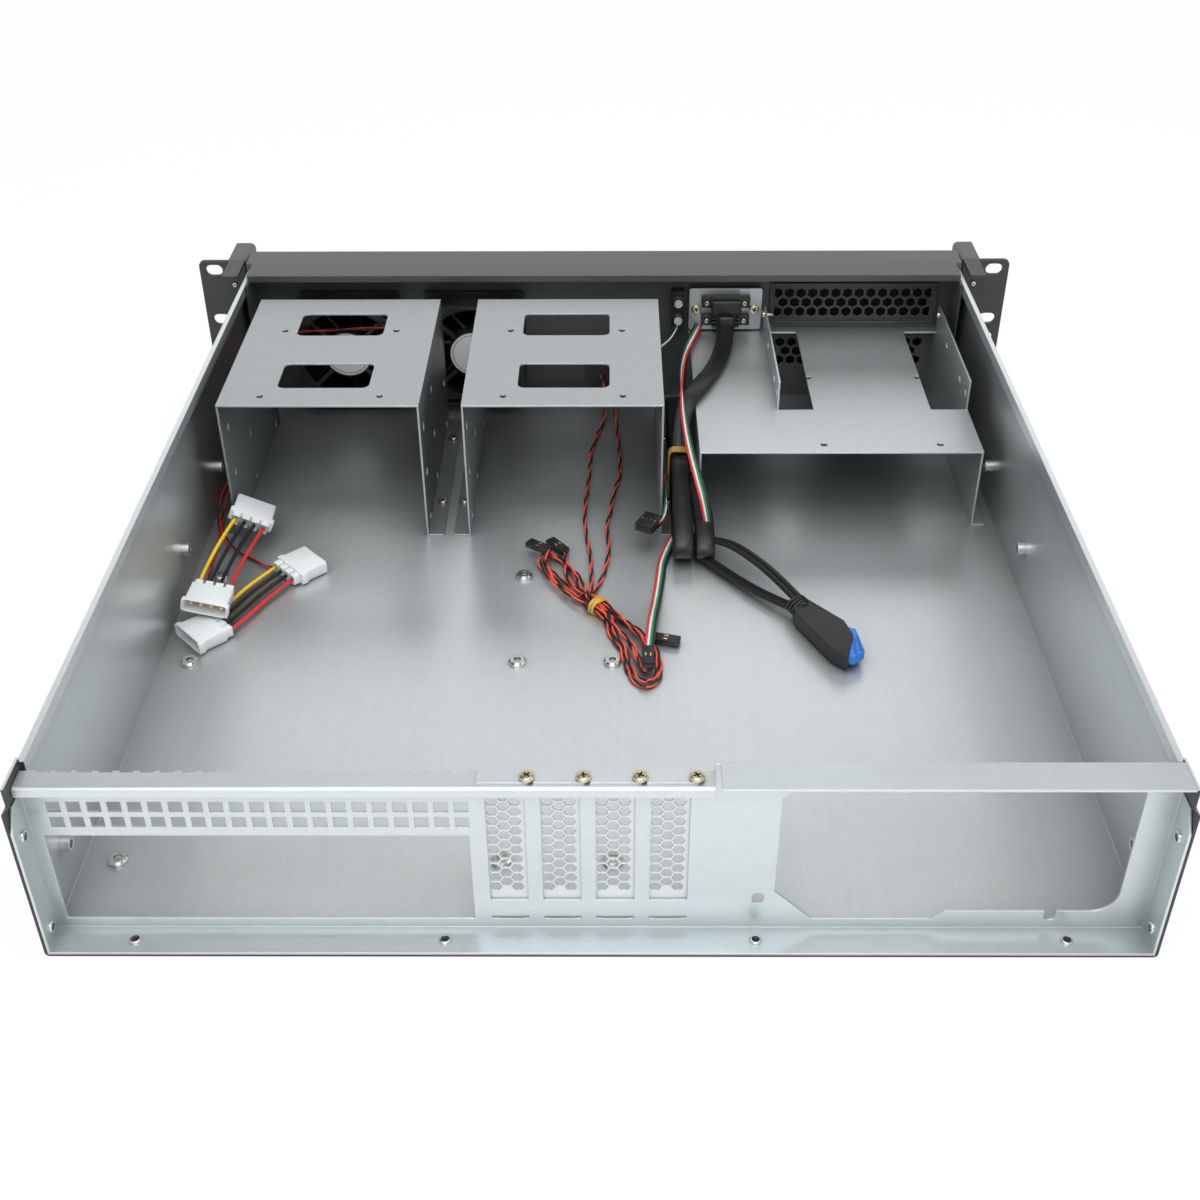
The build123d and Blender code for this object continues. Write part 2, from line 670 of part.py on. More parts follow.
def make_rear_panel():
    """Rear panel with its shelf, flanges and openings, folded from one sheet."""
    side = inner_half - SEAT_GAP
    upper = upper_inner - SEAT_GAP
    y0 = rear_face - SHEET
    face = outline(
        (-side, floor_top), (side, floor_top), (side, JOGGLE_BOTTOM), (upper, JOGGLE_BOTTOM + JOGGLE_RISE),
        (upper, SHELF_HEIGHT), (SHELF_END_X, SHELF_HEIGHT), (SHELF_END_X, TOP_FLANGE_HEIGHT),
        (-upper, TOP_FLANGE_HEIGHT), (-upper, JOGGLE_BOTTOM + JOGGLE_RISE), (-side, JOGGLE_BOTTOM),
    )
    panel = prism_y(face - rear_openings(), (y0, rear_face))
    shelf = outline(
        (y0, SHELF_HEIGHT - SHEET),
        (rear_face + SHELF_DEPTH - SHEET, SHELF_HEIGHT - SHEET),
        (rear_face + SHELF_DEPTH - SHEET, SHELF_HEIGHT - SHELF_LIP),
        (rear_face + SHELF_DEPTH, SHELF_HEIGHT - SHELF_LIP),
        (rear_face + SHELF_DEPTH, SHELF_HEIGHT),
        (y0, SHELF_HEIGHT),
    )
    bend = shelf.vertices().sort_by_distance((rear_face + SHELF_DEPTH, SHELF_HEIGHT, 0))[0]
    panel += prism_x(fillet(bend, SHELF_RADIUS), (SHELF_END_X, upper))
    flange_x = (-upper, SHELF_END_X - SHELF_END_OVERLAP)
    panel += block(flange_x, (y0, rear_edge), (TOP_FLANGE_HEIGHT - SHEET, TOP_FLANGE_HEIGHT))
    panel += block((-side, side), (y0, rear_edge), (floor_top, floor_top + SHEET))
    flange = prism_x(side_flange_outline(), (side - SHEET, side))
    flange &= block((0, case_width), (-CASE_DEPTH, CASE_DEPTH), (0, JOGGLE_BOTTOM - SHEET / 2))
    panel += flange + mirror_x(flange)
    for column in range(VENT_COLUMNS):
        x = VENT_FIRST_X - column * VENT_PITCH_X
        z = VENT_FIRST_Z + VENT_ROWS * VENT_PITCH_Z
        half = VENT_SIZE / 2
        panel -= block((x - half, x + half), (y0 - SHEET, rear_face), (z - half, z + half))
    return panel


def make_slot_cover(index):
    """Perforated cover of one expansion slot, with its screw tab on top."""
    left = SLOT_FIRST_X - index * SLOT_PITCH
    middle = left - SLOT_WIDTH / 2
    front = rear_face - SHEET - COVER_THICKNESS
    half = COVER_WIDTH / 2
    bottom = TONGUE_Z + 2 * TONGUE_HEIGHT
    plate = Pos(middle, (bottom + SHELF_HEIGHT) / 2) * Rectangle(COVER_WIDTH, SHELF_HEIGHT - bottom)
    first_x = middle - SLOT_WIDTH / 2 + COVER_HOLE_EDGE * COVER_HOLE_SIZE
    for column in range(COVER_HOLE_COLUMNS):
        x = first_x + column * COVER_HOLE_PITCH_X
        shift = 0.5 * (column % 2)
        for row in range(COVER_HOLE_ROWS):
            z = COVER_HOLE_BOTTOM + (row + shift) * COVER_HOLE_PITCH_Z
            plate -= Pos(x, z) * RegularPolygon(COVER_HOLE_SIZE / 2, 6, major_radius=False)
    cover = prism_y(plate, (front, front + COVER_THICKNESS))
    tongue = (middle - SLOT_WIDTH / 2 + TONGUE_SIDE, middle + SLOT_WIDTH / 2 - TONGUE_SIDE)
    cover += block(tongue, (front, front + COVER_THICKNESS), (floor_top + SHEET + SEAT_GAP, bottom))
    tab_y = (front, front + COVER_TAB_DEPTH)
    cover += block((middle - half, middle + half), tab_y, (SHELF_HEIGHT, SHELF_HEIGHT + COVER_THICKNESS))
    return cover


def slot_screws():
    """Screws that hold the slot covers' tabs on the shelf."""
    screws = []
    for slot in range(SLOT_COUNT):
        x = SLOT_FIRST_X - SLOT_WIDTH - COVER_SCREW_SIDE - slot * SLOT_PITCH
        z = SHELF_HEIGHT + COVER_THICKNESS
        screws.append(pan_head(SCREW_RADIUS, SCREW_HEIGHT, Pos(x, rear_face + COVER_SCREW_BACK, z)))
    return screws


def pan_head(radius, height, place):
    """Screw head standing along +Z of the place, with a rounded top edge."""
    head = standing_rod(radius, height)
    return place * chamfer(head.edges().sort_by(Axis.Z)[-1], height * HEAD_ROUNDING)


def make_rear_rivets():
    """Rivets that join the rear panel's flanges to the tray."""
    y = rear_face + RIVET_BACK
    rivets = []
    for x in RIVET_X:
        head = pan_head(RIVET_RADIUS, RIVET_HEIGHT, Pos(x, y, floor_top + SHEET))
        rivets += [head, mirror_x(head)]
    for z in RIVET_Z:
        x = inner_half - SEAT_GAP - SHEET
        head = pan_head(RIVET_RADIUS, RIVET_HEIGHT, Pos(x, y, z) * Rot(0, -90, 0))
        rivets += [head, mirror_x(head)]
    return Compound(rivets)


def grille_window():
    """Opening in the front panel that the bay grille covers, in X and Z."""
    margin = 2 * GRILLE_RIM
    width = GRILLE_LEFT - GRILLE_RIGHT - margin
    height = GRILLE_TOP - GRILLE_BOTTOM - margin
    return Pos((GRILLE_LEFT + GRILLE_RIGHT) / 2, (GRILLE_TOP + GRILLE_BOTTOM) / 2) * Rectangle(width, height)


def port_opening(margin):
    """Opening for the port, in X and Z, this much narrower and lower than its housing."""
    return Pos(PORT_X, PORT_Z) * Rectangle(HOUSING_BODY[0] - margin[0], HOUSING_BODY[1] - margin[1])


def front_face_cuts():
    """Openings in the front panel's face, in X and Z."""
    cuts = grille_window()
    cuts += port_opening(PANEL_PORT_MARGIN)
    for x in FAN_X:
        cuts += Pos(x, FAN_Z) * Circle(FAN_THROAT - 1)
    for x, radius in zip(BUTTON_X, BUTTON_RADIUS):
        cuts += Pos(x, BUTTON_Z) * Circle(radius + BUTTON_CLEARANCE)
    for step in (-1, 1):
        cuts += Pos(LED_X, LED_Z + step * LED_SIZE[1] / 4) * Circle(GUIDE_SIZE / 2 + BUTTON_CLEARANCE)
    middle = (GRILLE_LEFT + GRILLE_RIGHT) / 2
    first_x = middle + (HEX_COLUMNS - 1) * HEX_PITCH / 2
    return cuts + hex_field(first_x, LOWER_HEX_TOP_Z, HEX_COLUMNS - 1, LOWER_HEX_ROWS, HEX_PITCH, HEX_SIZE)


def make_front_panel():
    """Folded sheet behind the bezel, with flanges at its top, sides and bottom."""
    side = hem_inner - SIDE_GAP
    top = PANEL_HEIGHT
    lip_y = panel_face + TOP_FLANGE_DEPTH
    face = Pos(0, (floor_top + top) / 2) * Rectangle(2 * side, top - floor_top)
    panel = prism_y(face - front_face_cuts(), (panel_face, panel_inside))
    panel += block((-side, side), (panel_face, lip_y), (top - SHEET, top))
    panel += block((-side, side), (lip_y - SHEET, lip_y), (top - TOP_LIP, top))
    bottom_y = (panel_face, panel_inside + BOTTOM_FLANGE_DEPTH)
    panel += block((BAY_LEFT + 2 * BAY_FLANGE, side), bottom_y, (floor_top, floor_top + SHEET))
    wing = block((side - SHEET, side), (panel_face, panel_face + SIDE_FLANGE_DEPTH), (floor_top, WALL_HEIGHT))
    return panel + wing + mirror_x(wing)


def make_bay_grille():
    """Framed plate with hexagonal holes that closes the drive bay."""
    width = GRILLE_LEFT - GRILLE_RIGHT
    height = GRILLE_TOP - GRILLE_BOTTOM
    middle = ((GRILLE_LEFT + GRILLE_RIGHT) / 2, (GRILLE_TOP + GRILLE_BOTTOM) / 2)
    first_x = middle[0] + HEX_COLUMNS * HEX_PITCH / 2
    y = (panel_inside, panel_inside + SHEET)
    plate = Pos(*middle) * Rectangle(width, height)
    plate -= hex_field(first_x, HEX_TOP_Z, HEX_COLUMNS, HEX_ROWS, HEX_PITCH, HEX_SIZE)
    grille = prism_y(plate, y)
    rim = Rectangle(width, height) - Rectangle(width - 2 * GRILLE_FRAME, height - 2 * GRILLE_FRAME)
    return grille + prism_y(Pos(*middle) * rim, (y[0], y[1] + GRILLE_FRAME))


def make_front_bezel():
    """Cover in front of the panel, with openings for air, ports, buttons and lights."""
    half = half_width - JOGGLE_STEP + BEZEL_OVERLAP
    z = (0.0, PANEL_HEIGHT)
    shell = block((-half, half), (bezel_front, panel_face), z)
    inner = half - 2 * SHEET
    hollow_z = (z[0] + 2 * SHEET, z[1] - 2 * SHEET)
    shell -= block((-inner, inner), (bezel_front + 2 * SHEET, panel_face), hollow_z)
    vents = Sketch()
    for x in FAN_X:
        for row in range(-FAN_SLOT_SIDE, FAN_SLOT_SIDE + 1):
            height = row * FAN_SLOT_PITCH
            chord = 2 * sqrt(FAN_THROAT ** 2 - height ** 2)
            vents += Pos(x, FAN_Z + height) * SlotOverall(chord, BEZEL_SLOT)
    vents += grille_window()
    middle = (GRILLE_LEFT + GRILLE_RIGHT) / 2
    slot_length = GRILLE_LEFT - GRILLE_RIGHT - 2 * BAY_SLOT_MARGIN
    for row in range(BAY_SLOTS):
        vents += Pos(middle, BAY_SLOT_BOTTOM + row * BAY_SLOT_PITCH) * SlotOverall(slot_length, BEZEL_SLOT)
    vents += port_opening(BEZEL_PORT_MARGIN)
    for x, radius in zip(BUTTON_X, BUTTON_RADIUS):
        vents += Pos(x, BUTTON_Z) * Circle(radius + BUTTON_CLEARANCE)
    for step in (-1, 1):
        vents += Pos(LED_X, LED_Z + step * LED_SIZE[1] / 4) * Circle(GUIDE_SIZE / 2 + BUTTON_CLEARANCE)
    return shell - prism_y(vents, (bezel_front - 1, bezel_front + 3 * SHEET))


def ear_slot_heights():
    """Heights of the rack slots, two pairs about the middle of the panel."""
    middle = PANEL_HEIGHT / 2
    outer = EAR_SLOT_OUTER_PITCH / 2
    inner = EAR_SLOT_INNER_PITCH / 2
    return [middle - outer, middle - inner, middle + inner, middle + outer]


def make_rack_ear():
    """Angle with the rack slots, on the left wall."""
    inner_x = half_width + SEAT_GAP
    outer_x = RACK_WIDTH / 2
    width = outer_x - inner_x
    plate = Pos(inner_x + width / 2, PANEL_HEIGHT / 2) * Rectangle(width, PANEL_HEIGHT)
    corners = plate.vertices().group_by(Axis.X)[-1]
    plate = fillet(corners, EAR_CORNER)
    for z in ear_slot_heights():
        plate -= Pos(RACK_WIDTH / 2 - EAR_SLOT_EDGE, z) * SlotOverall(EAR_SLOT_LENGTH, EAR_SLOT_WIDTH)
    ear = prism_y(plate, (ear_plane - EAR_THICKNESS, ear_plane))
    leg = (inner_x, inner_x + EAR_THICKNESS)
    ear += block(leg, (ear_plane - EAR_THICKNESS, ear_plane + EAR_RETURN_DEPTH), (0, JOGGLE_BOTTOM - 1))
    tab_x = (hem_inner + 2 * JOGGLE_STEP, hem_inner + 2 * JOGGLE_STEP + HANDLE_WIDTH - 2)
    tab_z = (PANEL_HEIGHT - TAB_THICKNESS, PANEL_HEIGHT)
    return ear + block(tab_x, (ear_plane - EAR_THICKNESS, panel_face + TOP_FLANGE_DEPTH), tab_z)


def make_handle():
    """Handle on the left ear, with an opening for the fingers."""
    x = (half_width - HANDLE_OVERLAP, half_width - HANDLE_OVERLAP + HANDLE_WIDTH)
    y0, y1 = handle_front, ear_plane - EAR_THICKNESS
    side = outline((y0, 0), (y1, 0), (y1, PANEL_HEIGHT), (y0, PANEL_HEIGHT))
    side = fillet(side.vertices().group_by(Axis.X)[0], HANDLE_CORNER)
    gap = Pos((y0 + HANDLE_BAR + y1) / 2, PANEL_HEIGHT / 2)
    gap_size = (y1 - y0 - HANDLE_BAR, PANEL_HEIGHT - 3 * HANDLE_BAR)
    side -= gap * Rectangle(*gap_size)
    bar = prism_x(side, x)
    corner = bar.edges().filter_by(Axis.Z).sort_by(Axis.Y)[:2].sort_by(Axis.X)[0]
    return fillet(corner, HANDLE_ROUND)


def ear_screw(z):
    """Screw that holds the handle on the ear, from behind."""
    x = half_width + EAR_SCREW_SIDE
    head = pan_head(EAR_SCREW_RADIUS, SMALL_SCREW_HEIGHT, Pos(x, ear_plane, z) * Rot(-90, 0, 0))
    return [head, mirror_x(head)]


def make_small_screws():
    """The handle screws and the four small screws of the port moulding."""
    screws = ear_screw(EAR_SCREW_MARGIN) + ear_screw(PANEL_HEIGHT - EAR_SCREW_MARGIN)
    y = port_plate_span()[1] + HOUSING_DEPTH
    for step in (-0.5, 0.5):
        for lift in (-0.5, 0.5):
            x = PORT_X + step * PORT_SMALL_PITCH[0]
            place = Pos(x, y, PORT_Z + lift * PORT_SMALL_PITCH[1])
            screws.append(pan_head(EAR_SCREW_RADIUS, SMALL_SCREW_HEIGHT, place * Rot(-90, 0, 0)))
    return Compound(screws)


def cage_outline(inner, height, flange_left, flange_right):
    """Section of an inverted channel with feet, in X and Z, about its own middle."""
    outer = inner / 2 + SHEET
    half = inner / 2
    foot = floor_top + SHEET
    return outline(
        (-outer, height), (outer, height), (outer, foot), (outer + flange_right, foot),
        (outer + flange_right, floor_top), (half, floor_top), (half, height - SHEET),
        (-half, height - SHEET), (-half, floor_top), (-outer - flange_left, floor_top),
        (-outer - flange_left, foot), (-outer, foot),
    )


def make_drive_cage(middle):
    """Inverted channel for three stacked drives and one flat disk on top."""
    flange = CAGE_FLANGE - SHEET
    section = cage_outline(CAGE_INNER, CAGE_HEIGHT, flange, flange)
    cage = prism_y(Pos(middle, 0) * section, (cage_front, cage_rear))
    y_middle = (cage_front + cage_rear) / 2
    top_cut = (CAGE_HEIGHT - 2 * SHEET, CAGE_HEIGHT + SHEET)
    for step in (-0.5, 0.5):
        place = Pos(middle, y_middle + step * CAGE_WINDOW_PITCH)
        window = RectangleRounded(*CAGE_WINDOW, CAGE_WINDOW_RADIUS)
        cage -= prism_z(place * window, top_cut)
    for x in (middle - DISK_PITCH_X / 2, middle + DISK_PITCH_X / 2):
        for y in (cage_rear - DISK_FIRST_BACK, cage_rear - DISK_FIRST_BACK - DISK_PITCH_Y):
            cage -= rod_z(x, y, DISK_HOLE_RADIUS, top_cut)
    holes = Sketch()
    for row in range(DRIVE_ROWS):
        for step in DRIVE_HOLE_STEPS:
            place = Pos(cage_rear - DRIVE_HOLE_BACK - step, DRIVE_HOLE_Z + row * DRIVE_PITCH_Z)
            holes += place * RegularPolygon(DRIVE_HOLE / 2, 6)
    return cage - prism_x(holes, (middle - CAGE_INNER, middle + CAGE_INNER))


def cage_screws():
    """Screws through the feet of both cages."""
    screws = []
    reach = CAGE_INNER / 2 + SHEET + (CAGE_FLANGE - SHEET) / 2 + 0.6
    for middle in (CAGE_LEFT_X, CAGE_RIGHT_X):
        for x in (middle - reach, middle + reach):
            for step in (0, CAGE_SCREW_PITCH):
                place = Pos(x, cage_rear - CAGE_SCREW_BACK - step, floor_top + SHEET)
                screws.append(pan_head(SCREW_RADIUS, SCREW_HEIGHT, place))
    return screws


def make_bay_bracket():
    """Platform on two legs, with two uprights bent out of its windows."""
    inner = BAY_LEFT - BAY_RIGHT - 2 * SHEET
    middle = (BAY_LEFT + BAY_RIGHT) / 2
    foot = BAY_FLANGE - SHEET
    front = panel_inside + SEAT_GAP
    bracket = prism_y(Pos(middle, 0) * cage_outline(inner, BAY_HEIGHT, foot, foot), (front, bay_rear))
    z = (BAY_HEIGHT - 2 * SHEET, BAY_HEIGHT + SHEET)
    upright_x = (BAY_RIGHT + SHEET, BAY_RIGHT + SHEET + BAY_INNER)
    bracket -= block((upright_x[0], upright_x[0] + BAY_WINDOW_WIDTH), (window_front, window_rear), z)
    bracket -= block((upright_x[1] - BAY_WINDOW_WIDTH, upright_x[1]), (window_front, window_rear), z)
    top = BAY_HEIGHT - SHEET + UPRIGHT_HEIGHT
    for x in (upright_x[0] - SHEET, upright_x[1]):
        bracket += block((x, x + SHEET), (window_front, window_rear), (BAY_HEIGHT - SHEET, top))
    holes = Sketch()
    for step in UPRIGHT_HOLE_STEPS:
        place = Pos(window_rear - step, top - UPRIGHT_HEIGHT / 2)
        holes += place * RegularPolygon(UPRIGHT_HOLE / 2, 6)
    bracket -= prism_x(holes, (BAY_RIGHT - SHEET, BAY_LEFT - 2 * SHEET))
    disk_x = (upright_x[0] + upright_x[1]) / 2
    for x in (disk_x - DISK_PITCH_X / 2, disk_x + DISK_PITCH_X / 2):
        for y in (bay_rear - BAY_DISK_BACK, bay_rear - BAY_DISK_BACK - DISK_PITCH_Y):
            bracket -= rod_z(x, y, DISK_HOLE_RADIUS, z)
    return bracket


def bay_screws():
    """Screws at the feet of the bay bracket."""
    screws = []
    for x in (BAY_LEFT + BAY_FLANGE / 2, BAY_RIGHT - BAY_FLANGE / 2):
        for step in (CAGE_SCREW_BACK, CAGE_SCREW_BACK + CAGE_SCREW_PITCH):
            place = Pos(x, bay_rear - step, floor_top + SHEET)
            screws.append(pan_head(SCREW_RADIUS, SCREW_HEIGHT, place))
    return screws


def fan_span():
    """Front and rear of the fans, in Y."""
    return panel_inside, panel_inside + FAN_DEPTH


def make_fan_frame(x):
    """Square fan housing with a round throat, struts and the motor seat at the rear."""
    y0, y1 = fan_span()
    square = RectangleRounded(FAN_SIZE, FAN_SIZE, FAN_CORNER)
    holes = Sketch()
    for sx in (-0.5, 0.5):
        for sz in (-0.5, 0.5):
            holes += Pos(sx * FAN_HOLE_PITCH, sz * FAN_HOLE_PITCH) * Circle(FAN_HOLE_RADIUS)
    plate = square - Circle(FAN_THROAT) - holes
    place = Pos(x, FAN_Z)
    frame = prism_y(place * plate, (y0, y0 + FAN_PLATE))
    frame += prism_y(place * plate, (y1 - FAN_PLATE, y1))
    ring = Circle(FAN_THROAT + THROAT_WALL) - Circle(FAN_THROAT)
    frame += prism_y(place * ring, (y0, y1))
    strut_y = (y1 - FAN_STRUT_DEPTH, y1)
    spokes = Sketch()
    for spoke in range(FAN_STRUTS):
        arm = Pos(FAN_THROAT / 2 + 1, 0) * Rectangle(FAN_THROAT, FAN_STRUT_WIDTH)
        spokes += Rot(0, 0, STRUT_TURN + spoke * 360 / FAN_STRUTS) * arm
    spokes += Circle(FAN_HUB_RADIUS)
    frame += prism_y(place * spokes, strut_y)
    pin = rod_y(x, FAN_Z, AXLE_RADIUS, (y0 + AXLE_BACK, y1 - FAN_STRUT_DEPTH))
    return frame + pin


def make_fan_rotor(x):
    """Hub and blades, turning on the pin of the motor seat."""
    y0, y1 = fan_span()
    hub_y = (y0 + HUB_BACK, y1 - FAN_STRUT_DEPTH - HUB_GAP)
    middle = (hub_y[0] + hub_y[1]) / 2
    rotor = rod_y(0, 0, FAN_HUB_RADIUS, hub_y)
    span = (FAN_HUB_RADIUS - HUB_BITE, BLADE_RADIUS)
    blade = Pos((span[0] + span[1]) / 2, middle, 0) * Rot(BLADE_PITCH, 0, 0)
    blade = blade * Box(span[1] - span[0], BLADE_SPAN_Y, BLADE_THICKNESS)
    for index in range(BLADES):
        rotor += Rot(0, index * 360 / BLADES, 0) * blade
    rotor &= rod_y(0, 0, BLADE_RADIUS, hub_y)
    rotor -= rod_y(0, 0, AXLE_RADIUS + AXLE_GAP, (y0 + AXLE_BACK - AXLE_END_GAP, y1))
    return Pos(x, 0, FAN_Z) * rotor


def port_plate_span():
    """Front and rear of the port plate, in Y."""
    return panel_inside + PORT_BACK - SHEET, panel_inside + PORT_BACK


def make_port_plate():
    """Plate behind the port opening, on two spacers."""
    y0, y1 = port_plate_span()
    plate = Pos(PORT_X, PORT_Z) * RectangleRounded(*PORT_SIZE, PORT_CORNER)
    part = prism_y(plate - port_opening(PLATE_PORT_MARGIN), (y0, y1))
    for step in (-0.5, 0.5):
        part += rod_y(PORT_X + step * PORT_SCREW_PITCH, PORT_Z, SPACER_RADIUS, (panel_inside, y0))
    return part


def make_port_housing():
    """Moulded twin port with its four lugs and the cable shroud."""
    y1 = port_plate_span()[1]
    lugs = Pos(PORT_X, PORT_Z) * RectangleRounded(*HOUSING_SIZE, HOUSING_CORNER)
    part = prism_y(lugs, (y1, y1 + HOUSING_DEPTH))
    body = Pos(PORT_X, PORT_Z) * RectangleRounded(*HOUSING_BODY, HOUSING_BODY_CORNER)
    part += prism_y(body, (y1, y1 + HOUSING_BODY_DEPTH))
    part += prism_y(port_opening(MOUTH_MARGIN), (panel_face, y1))
    for step in (-0.5, 0.5):
        socket = Pos(PORT_X + step * SOCKET_PITCH, PORT_Z) * Rectangle(*SOCKET_SIZE)
        part -= prism_y(socket, (panel_face - SHEET, y1))
    return part


def port_screws():
    """Two screws of the port plate."""
    y1 = port_plate_span()[1]
    places = [Pos(PORT_X + step * PORT_SCREW_PITCH, y1, PORT_Z) for step in (-0.5, 0.5)]
    return [pan_head(SCREW_RADIUS, SCREW_HEIGHT, place * Rot(-90, 0, 0)) for place in places]


def make_case_screws():
    """All cross-head screws of the slot covers, cages, bracket and port plate."""
    return Compound(slot_screws() + cage_screws() + bay_screws() + port_screws())


def make_button(index):
    """Push button through the bezel and the panel, kept in by its collar."""
    x, radius = BUTTON_X[index], BUTTON_RADIUS[index]
    part = rod_y(x, BUTTON_Z, radius, (bezel_front - BUTTON_PROUD, panel_inside + 1))
    collar = (panel_inside + SEAT_GAP, panel_inside + SEAT_GAP + BUTTON_COLLAR)
    return part + rod_y(x, BUTTON_Z, radius + BUTTON_COLLAR_RIM, collar)


def make_led_holder():
    """Block behind the panel that carries both light guides."""
    block_y = (panel_inside, panel_inside + LED_DEPTH)
    body = Pos(LED_X, LED_Z) * RectangleRounded(*LED_SIZE, 1.0)
    part = prism_y(body, block_y)
    for step in (-1, 1):
        z = LED_Z + step * LED_SIZE[1] / 4
        part -= rod_y(LED_X, z, GUIDE_SIZE / 2 + GUIDE_FIT, (panel_face, block_y[1] + 1))
    return part


def make_light_guides():
    """Two clear rods, from the bezel to the lamps behind the block."""
    end = panel_inside + GUIDE_LENGTH
    heights = [LED_Z + step * LED_SIZE[1] / 4 for step in (-1, 1)]
    return Compound([rod_y(LED_X, z, GUIDE_SIZE / 2, (bezel_front, end)) for z in heights])


def make_switch_block():
    """Block behind the panel with the two switches, open towards the buttons."""
    x = (BUTTON_X[0] + BUTTON_X[1]) / 2
    body = prism_y(Pos(x, BUTTON_Z) * Rectangle(*SWITCH_BLOCK), (panel_inside, panel_inside + SWITCH_DEPTH))
    for place, radius in zip(BUTTON_X, BUTTON_RADIUS):
        clear = radius + BUTTON_COLLAR_RIM + 2 * BUTTON_CLEARANCE
        body -= rod_y(place, BUTTON_Z, clear, (panel_face, panel_inside + SWITCH_POCKET))
    return body


def make_power_plug(index):
    """Four-pole power plug with its lip and the sleeve where the wires enter."""
    position, yaw, roll = PLUG_PLACES[index]
    width, length, height = PLUG_SIZE
    body = extrude(Plane.XZ * RectangleRounded(width, height, PLUG_CORNER), length / 2, both=True)
    lip_y = length / 2 - PLUG_LIP[1] / 2 - (length - 2 * PLUG_LIP[1] if index in (0, 2) else 0)
    body += Pos(0, lip_y, 0) * Box(*PLUG_LIP)
    sleeve_y = -(length + PLUG_SLEEVE[1]) / 2
    body += Pos(0, sleeve_y, 0) * Box(*PLUG_SLEEVE)
    return Pos(*position) * Rot(0, 0, yaw) * Rot(0, roll, 0) * Pos(0, 2, 0) * body


def make_lead_hank():
    """Outer shape of the wound front-panel leads: two lobes joined at the band."""
    height = HANK_HEIGHT
    hank = prism_z(fillet(outline(*HANK_LOBE_1).vertices(), 2.5), height)
    hank += prism_z(fillet(outline(*HANK_LOBE_2).vertices(), 2.5), height)
    neck = Pos(*HANK_MIDDLE) * Rot(0, 0, HANK_TURN) * Rectangle(*HANK_NECK)
    hank += prism_z(neck, height)
    return hank


def make_rubber_bands():
    """Two bands, one round each bundle."""
    low, high = HANK_HEIGHT
    gap = 0.1
    inner = Box(BAND_LENGTH + 1, HANK_NECK[1] + gap, high - low + gap)
    outer = Box(BAND_LENGTH, HANK_NECK[1] + 2 * BAND_THICKNESS, high - low + 0.5)
    place = Pos(HANK_MIDDLE[0], HANK_MIDDLE[1], (low + high) / 2) * Rot(0, 0, HANK_TURN)
    first = place * (outer - inner)
    side = BAND_THICKNESS
    x = (FOLD_X[0] - gap, FOLD_X[1] + gap)
    z = (fold_height(FOLD_BAND_Y)[0] - gap, fold_height(FOLD_BAND_Y)[1] + gap)
    second = block((x[0] - side, x[1] + side), FOLD_BAND_Y, (z[0] - side, z[1] + side))
    second -= block(x, (FOLD_BAND_Y[0] - 1, FOLD_BAND_Y[1] + 1), z)
    return Compound([first, second])


def fold_height(span):
    """Lower and upper limit of the folded cable over a stretch of Y."""
    box = (fold_body() & block((-case_width, case_width), span, (0, PANEL_HEIGHT))).bounding_box()
    return box.min.Z, box.max.Z


def fold_body():
    """Long part of the folded port cable."""
    return prism_x(outline(*FOLD_SIDE), FOLD_X)


def make_port_cable_fold():
    """Outer shape of the folded port cable with its second loop."""
    return fold_body() + prism_x(outline(*LOBE_SIDE), LOBE_X)


def make_pin_connectors():
    """Connectors at the ends of the front-panel leads: four small ones and the two-row one."""
    pins = [Pos(*place) * Rot(0, 0, turn) * Box(*PIN_CONNECTOR) for place, turn in PIN_CONNECTOR_PLACES]
    place, turn = HEADER_PLACE
    return Compound(pins + [Pos(*place) * Rot(0, 0, turn) * Box(*HEADER_SIZE)])


def make_port_boot():
    """Angled boot of the port plug with its strain relief."""
    boot = prism_z(outline(*BOOT_OUTLINE), BOOT_HEIGHT)
    start, radius, length = BOOT_NECK
    neck = Cylinder(radius, length, align=(Align.CENTER, Align.CENTER, Align.MIN))
    boot += Pos(*start) * Rot(0, 0, BOOT_TURN) * Rot(-90, 0, 0) * neck
    return boot - make_port_plug()


def make_port_plug():
    """Insert of the port plug, square to the boot's long end."""
    return prism_z(outline(*BLUE_OUTLINE), BLUE_HEIGHT)


def flat_cord(name, points, size):
    """Flat cord of straight runs joined by tangent arcs, its wide side kept level at the start."""
    radii = bend_radii(points)
    path = FilletPolyline(*points, radius=radii)
    start = Plane(origin=path @ 0, x_dir=(path % 0).cross(Vector(0, 0, 1)), z_dir=path % 0)
    tube = sweep(start * Rectangle(*size), path=path)
    ratio = tube.volume / (size[0] * size[1] * path.length)
    print(name, "length", round(path.length, 1), "volume ratio", round(ratio, 4),
          "radii", [round(r, 1) for r in radii])
    return tube


